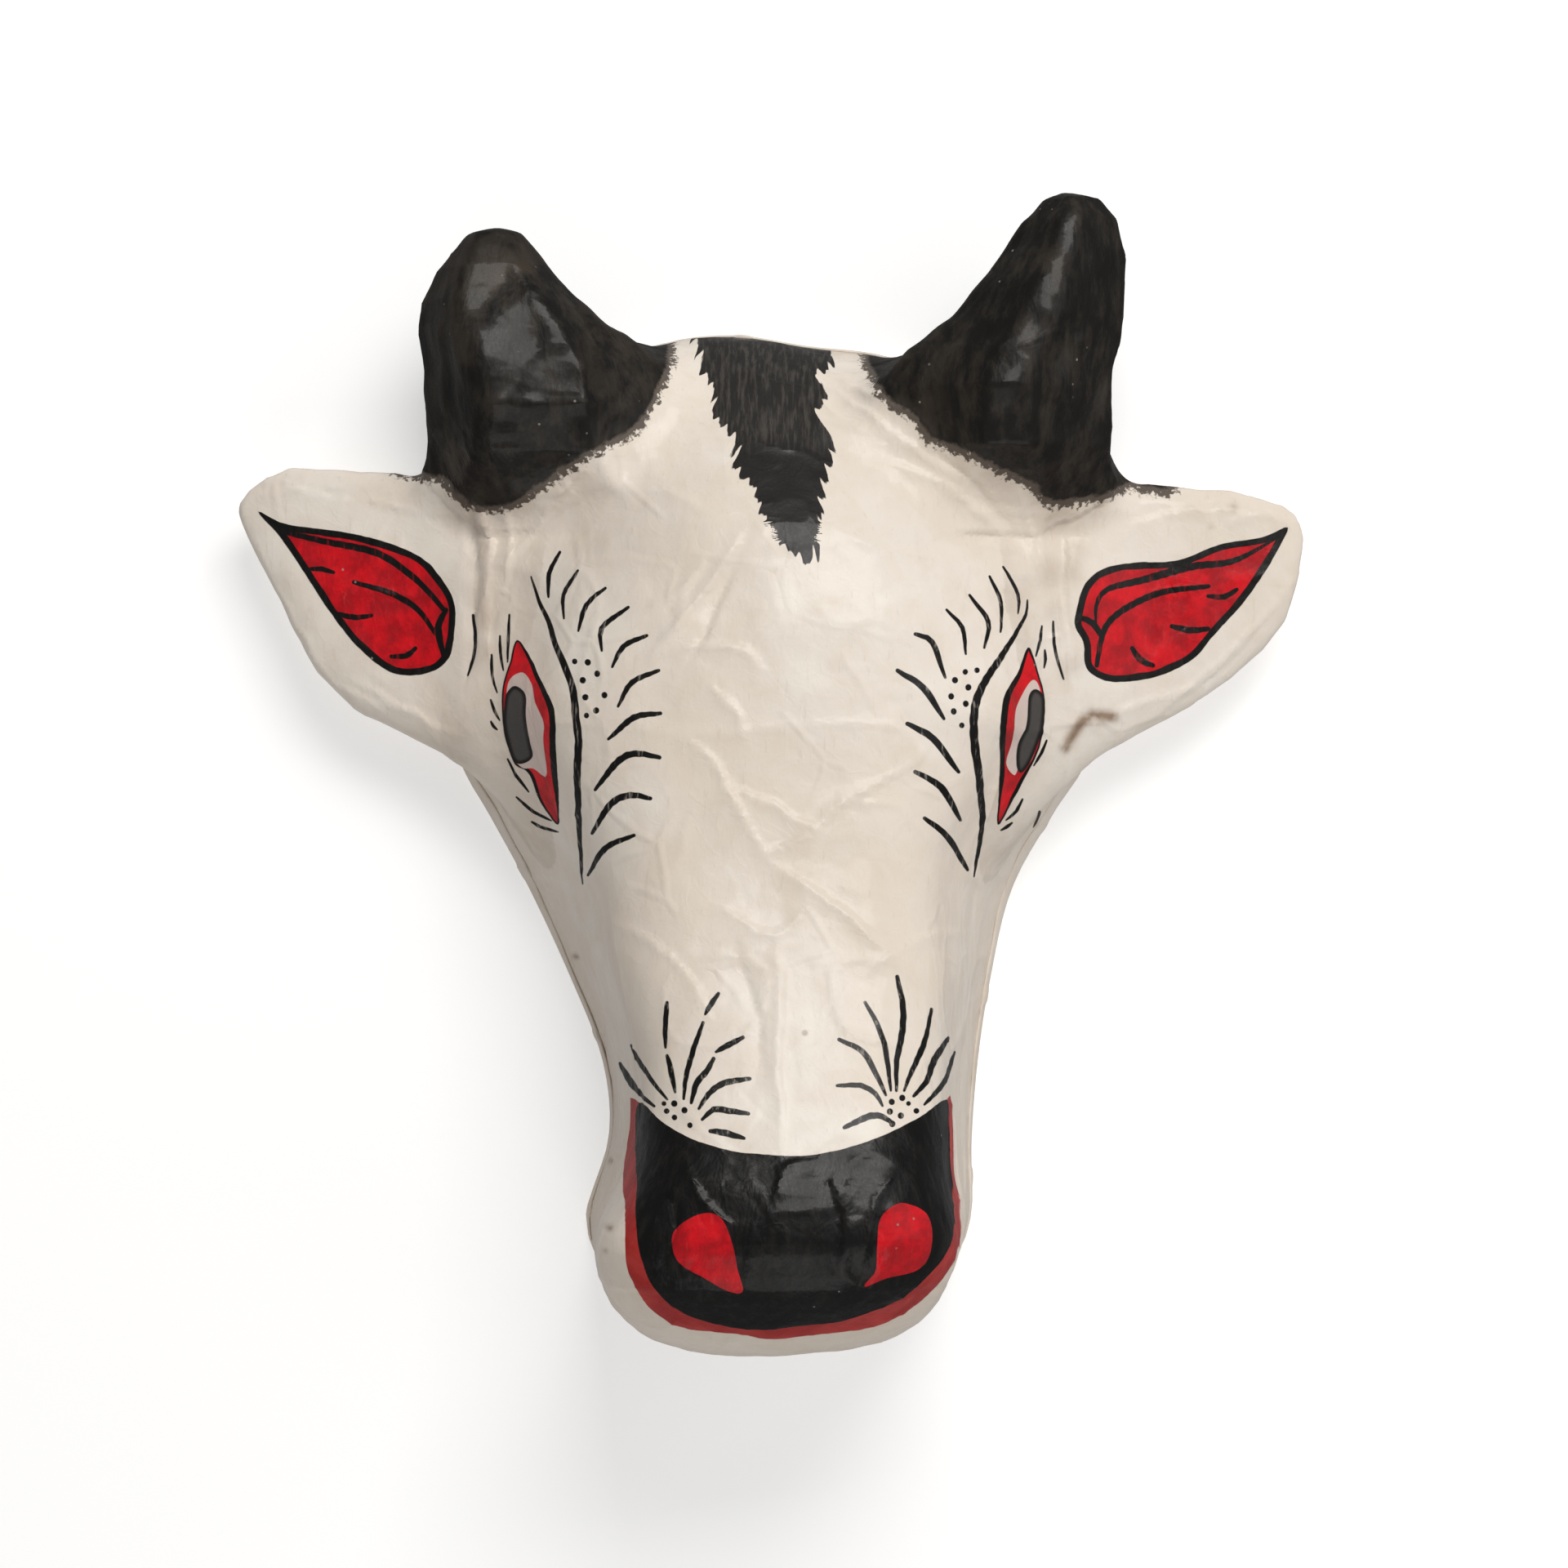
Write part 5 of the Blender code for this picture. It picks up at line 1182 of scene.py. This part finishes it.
THICK = np.full(len(V), 1.2)
sheets = [("face_shell_skin", kind == 0, face_mat, "painted_face", ["face_shell"])]
for label, mask in (("left", ~right), ("right", right)):
    sheets += [
        ("horn_skin_%s_paper" % label, (kind == 2) & mask, horn_mat, "horn_paint", ["horn_skin_" + label]),
        ("horn_strip_%s_paper" % label, (kind == 1) & mask, strip_dark, "strip_black", ["horn_collar_" + label]),
        ("ear_front_%s_paper" % label, (kind == 4) & mask & front, ear_red, "ear_red_paint", ["ear_front_" + label]),
        ("ear_back_%s_paper" % label, (kind == 4) & mask & ~front, ear_cream, "ear_cream_paint", ["ear_back_" + label]),
        ("ear_strip_front_%s_paper" % label, (kind == 3) & mask & front, strip_light, "strip_cream",
         ["ear_strip_front_" + label]),
        ("ear_strip_back_%s_paper" % label, (kind == 3) & mask & ~front, strip_light, "strip_cream",
         ["ear_strip_back_" + label]),
    ]
for name, mask, mat, slot, nodes in sheets:
    piece(name, V2, T[mask], N, THICK, LAYERS, mat, inner, nodes)


# the lining: the inner layers of paper, seen from behind
def lining_field(x, d, z):
    return head(x, d, z) + 3.0


LV, LT = grid_surface(lining_field, 2.2, (-104, 0, -182), (104, 132, 138))
LR = np.zeros(len(LV), bool)
LR[boundary(LT, len(LV))] = True
LV[LR, 1] = RIM_D
LV = settle(lining_field, LV, 3, LR)
LG = gradient(lining_field, LV)
LG /= np.linalg.norm(LG, axis=1)[:, None]
if (vertex_normals(LV, LT) * LG).sum() > 0:
    LT = LT[:, ::-1]
lr, lt = strip_relief(LV, LG, np.nonzero(LV[:, 1] > 0)[0])
lump = 1.2 * (noise(LV, 16.0, 41) - 0.5) + 0.5 * (noise(LV, 6.0, 42) - 0.5)
LM = -(lr * 2.2 + lump) * step01((LV[:, 1] - RIM_D) / 8)
LV = LV + LG * LM[:, None]
LV[:, 1] = np.maximum(LV[:, 1], RIM_D)
LN = vertex_normals(LV, LT)
kraft = papery("paper_inside", (0.33, 0.22, 0.12), (0.50, 0.38, 0.25), (0.56, 0.52, 0.45), 420.0, 0.30)
piece("face_shell_lining", LV, LT, LN, np.full(len(LV), 0.9), {"tone": lt}, kraft, kraft,
      ["face_shell"])


# the binding: a strip folded over the cut edge, in overlapping lengths
def cast(origin, direction, level):
    lo, hi = np.zeros(len(origin)), np.full(len(origin), 260.0)
    for _ in range(40):
        m = 0.5 * (lo + hi)
        p = origin + direction * m[:, None]
        outside = head(p[:, 0], p[:, 1], p[:, 2]) > level
        hi = np.where(outside, m, hi)
        lo = np.where(outside, lo, m)
    return origin + direction * hi[:, None]


RIM_N = 520
RIM = closed_curve(RIM_OUTLINE, RIM_N)
turn = np.arange(RIM_N) / RIM_N
lengths = 15.0
phase = (turn * lengths) % 1.0
lap = np.where(phase < 0.10, step01(phase / 0.03) * step01((0.10 - phase) / 0.02), 0.0) * 0.35
reach = 6.4 + 0.9 * np.sin(turn * 2 * math.pi * 37) * 0.5 + 0.8 * np.sin(turn * 2 * math.pi * 11 + 1)
outer_lvl, inner_lvl = -0.05, -3.35
profile = [(outer_lvl + 0.45, 0.15, 0), (outer_lvl + 0.7, 0.7, 0), (outer_lvl + 0.7, 0.30, 1), (outer_lvl + 0.65, 0.62, 1),
           (outer_lvl + 0.60, 0.86, 1), (outer_lvl + 0.45, 0.96, 1), (outer_lvl + 0.25, 1.0, 1), (outer_lvl + 0.05, 0.97, 1),
           (outer_lvl, 0.6, 1), (outer_lvl, 1.25, 0), (inner_lvl, 1.25, 0), (inner_lvl, 0.6, 1), (inner_lvl, 0.92, 1),
           (inner_lvl - 0.45, 0.97, 1), (inner_lvl - 0.9, 0.9, 1), (inner_lvl - 1.0, 0.6, 1), (inner_lvl - 1.0, 0.30, 1),
           (inner_lvl - 1.0, 0.7, 0), (inner_lvl - 0.75, 0.15, 0), (inner_lvl - 0.4, 0.0, 0), (-1.5, 0.0, 0),
           (outer_lvl + 0.2, 0.0, 0)]
spine = np.clip(RIM[:, 1], -112, 78)
BV, BF = [], []
for level, dd, scaled in profile:
    depth = dd * reach if scaled else np.full(RIM_N, dd)
    origin = np.stack([middle(spine), depth, spine], axis=1)
    flat = np.stack([RIM[:, 0] - origin[:, 0], np.zeros(RIM_N), RIM[:, 1] - origin[:, 2]], axis=1)
    flat /= np.linalg.norm(flat, axis=1)[:, None]
    ring = cast(origin, flat, level + 0.15 * math.sin(level * 3))
    extra = lap if level > 0 else -lap
    ring = ring + flat * (extra * (1 if abs(level - outer_lvl) > 0.02 and abs(level - inner_lvl) > 0.02 else 0))[:, None]
    BV.append(ring)
BV = np.vstack(BV)
K = len(profile)
for k in range(K):
    a, c = k * RIM_N, ((k + 1) % K) * RIM_N
    i = np.arange(RIM_N)
    j = (i + 1) % RIM_N
    BF.append(np.stack([a + i, a + j, c + j], 1))
    BF.append(np.stack([a + i, c + j, c + i], 1))
BF = np.vstack(BF)
bt = (np.floor(turn * lengths) * 0.37) % 1.0
BT = np.tile(bt, K)
mesh = bpy.data.meshes.new("rim_binding_paper")
pts = np.stack([BV[:, 0], -BV[:, 1], BV[:, 2]], axis=1) * 0.001
mesh.from_pydata(pts.tolist(), [], BF.tolist())
bm = bmesh.new()
bm.from_mesh(mesh)
bmesh.ops.recalc_face_normals(bm, faces=bm.faces)
if bm.calc_volume(signed=True) < 0:
    bmesh.ops.reverse_faces(bm, faces=bm.faces)
bm.to_mesh(mesh)
bm.free()
mesh.shade_smooth()
a = mesh.attributes.new("tone", "FLOAT", "POINT")
a.data.foreach_set("value", BT.astype(np.float32))
for key in LAYERS:
    if key != "tone":
        a = mesh.attributes.new(key, "FLOAT", "POINT")
        level = 0.08 if key == "grime_and_shade" else 0.0 if key in ("wear", "lock_below_sheen") else 9.0
        a.data.foreach_set("value", np.full(len(BV), level, np.float32))
mesh.materials.append(papery("rim_paper", (0.44, 0.34, 0.24), (0.62, 0.52, 0.41), (0.70, 0.62, 0.53), 520.0))
mesh.materials.append(painted("rim_paint"))
seen = np.zeros(len(BF), np.int32)
seen[:8 * 2 * RIM_N] = 1
seen[(K - 1) * 2 * RIM_N:] = 1
mesh.polygons.foreach_set("material_index", seen)
binding = bpy.data.objects.new("rim_binding_paper", mesh)
bpy.context.scene.collection.objects.link(binding)
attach(binding, "root")
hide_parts("rim_binding")

# the cards stay as the CAD has them, hidden inside; each horn's rolled newspaper
# core follows the skin that spreads out over its root
news = papery("newsprint_core", (0.36, 0.34, 0.30), (0.52, 0.50, 0.45), (0.60, 0.58, 0.53), 380.0, 0.7)
card = papery("ear_card", (0.26, 0.18, 0.10), (0.38, 0.28, 0.17), (0.34, 0.27, 0.18), 700.0)
for label, table, lo, hi in (("left", LEFT_FLARED, (-112, 4, 66), (-34, 76, 172)),
                             ("right", RIGHT_FLARED, (34, 4, 66), (116, 80, 184))):
    def core(x, d, z, table=table):
        return np.maximum(horn(table, x, d, z) + 4.2, 1.6 - head(x, d, z))

    xs, ds, zs = [np.arange(a, c + 2.4, 2.4) for a, c in zip(lo, hi)]
    value = core(xs[:, None, None], ds[None, :, None], zs[None, None, :])
    CV, CT = surface_net(value, np.array([xs[0], ds[0], zs[0]]), 2.4)
    g = gradient(core, CV)
    if (vertex_normals(CV, CT) * g).sum() < 0:
        CT = CT[:, ::-1]
    crumple = (1 - 2 * np.abs(noise(CV, 9.0, 71) - 0.5)) ** 3
    CV = CV - vertex_normals(CV, CT) * (0.9 * crumple)[:, None]
    mesh = bpy.data.meshes.new("horn_core_%s_news" % label)
    mesh.from_pydata((np.stack([CV[:, 0], -CV[:, 1], CV[:, 2]], 1) * 0.001).tolist(), [], CT[:, ::-1].tolist())
    mesh.shade_smooth()
    a = mesh.attributes.new("tone", "FLOAT", "POINT")
    a.data.foreach_set("value", noise(CV, 14.0, 72).astype(np.float32))
    mesh.materials.append(news)
    obj = bpy.data.objects.new("horn_core_%s_news" % label, mesh)
    bpy.context.scene.collection.objects.link(obj)
    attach(obj, "root")
    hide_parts("horn_core_" + label)
    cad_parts["ear_card_" + label].material_slots[0].material = card

# ------------------------------------------------------------ wall, lights, camera
size = 2.6
wall_mesh = bpy.data.meshes.new("backdrop")
wall_mesh.from_pydata([(-size, 0.0006, -size), (size, 0.0006, -size), (size, 0.0006, size), (-size, 0.0006, size)],
                      [], [(0, 1, 2, 3)])
wall = bpy.data.objects.new("backdrop", wall_mesh)
bpy.context.scene.collection.objects.link(wall)
wall_mat = bpy.data.materials.new("backdrop")
wall_mat.use_nodes = True
nt = wall_mat.node_tree
nt.nodes.clear()
out = nt.nodes.new("ShaderNodeOutputMaterial")
geo = nt.nodes.new("ShaderNodeNewGeometry")
clear = nt.nodes.new("ShaderNodeBsdfTransparent")
matt = nt.nodes.new("ShaderNodeBsdfDiffuse")
matt.inputs["Color"].default_value = (WALL_DIFFUSE, WALL_DIFFUSE, WALL_DIFFUSE, 1)
glow = nt.nodes.new("ShaderNodeEmission")
glow.inputs["Color"].default_value = (1.0, 1.0, 1.0, 1)
glow.inputs["Strength"].default_value = WALL_GLOW
both = nt.nodes.new("ShaderNodeAddShader")
pick = nt.nodes.new("ShaderNodeMixShader")
nt.links.new(matt.outputs[0], both.inputs[0])
nt.links.new(glow.outputs[0], both.inputs[1])
nt.links.new(geo.outputs["Backfacing"], pick.inputs[0])
nt.links.new(both.outputs[0], pick.inputs[1])
nt.links.new(clear.outputs[0], pick.inputs[2])
nt.links.new(pick.outputs[0], out.inputs[0])
wall_mesh.materials.append(wall_mat)
wall.visible_glossy = False

world = bpy.data.worlds.new("studio")
world.use_nodes = True
world.node_tree.nodes["Background"].inputs[0].default_value = (1, 1, 1, 1)
world.node_tree.nodes["Background"].inputs[1].default_value = WORLD
bpy.context.scene.world = world


def lamp(name, place, target, w, h, power, colour=(1, 1, 1)):
    data = bpy.data.lights.new(name, "AREA")
    data.shape = "RECTANGLE"
    data.size, data.size_y = w, h
    data.energy = power
    data.color = colour
    obj = bpy.data.objects.new(name, data)
    obj.location = place
    obj.rotation_euler = (Vector(target) - Vector(place)).to_track_quat("-Z", "Y").to_euler()
    bpy.context.scene.collection.objects.link(obj)


for spec in LAMPS:
    lamp(*spec)

cam_data = bpy.data.cameras.new("camera")
cam_data.sensor_width = 36.0
cam_data.lens = 115.38
cam_data.clip_start, cam_data.clip_end = 0.05, 20.0
cam = bpy.data.objects.new("camera", cam_data)
cam.location = (0.00403, -1.6, -0.00403)
cam.rotation_euler = (math.radians(90), 0, 0)
bpy.context.scene.collection.objects.link(cam)
bpy.context.scene.camera = cam
bpy.context.scene.view_settings.view_transform = "Standard"
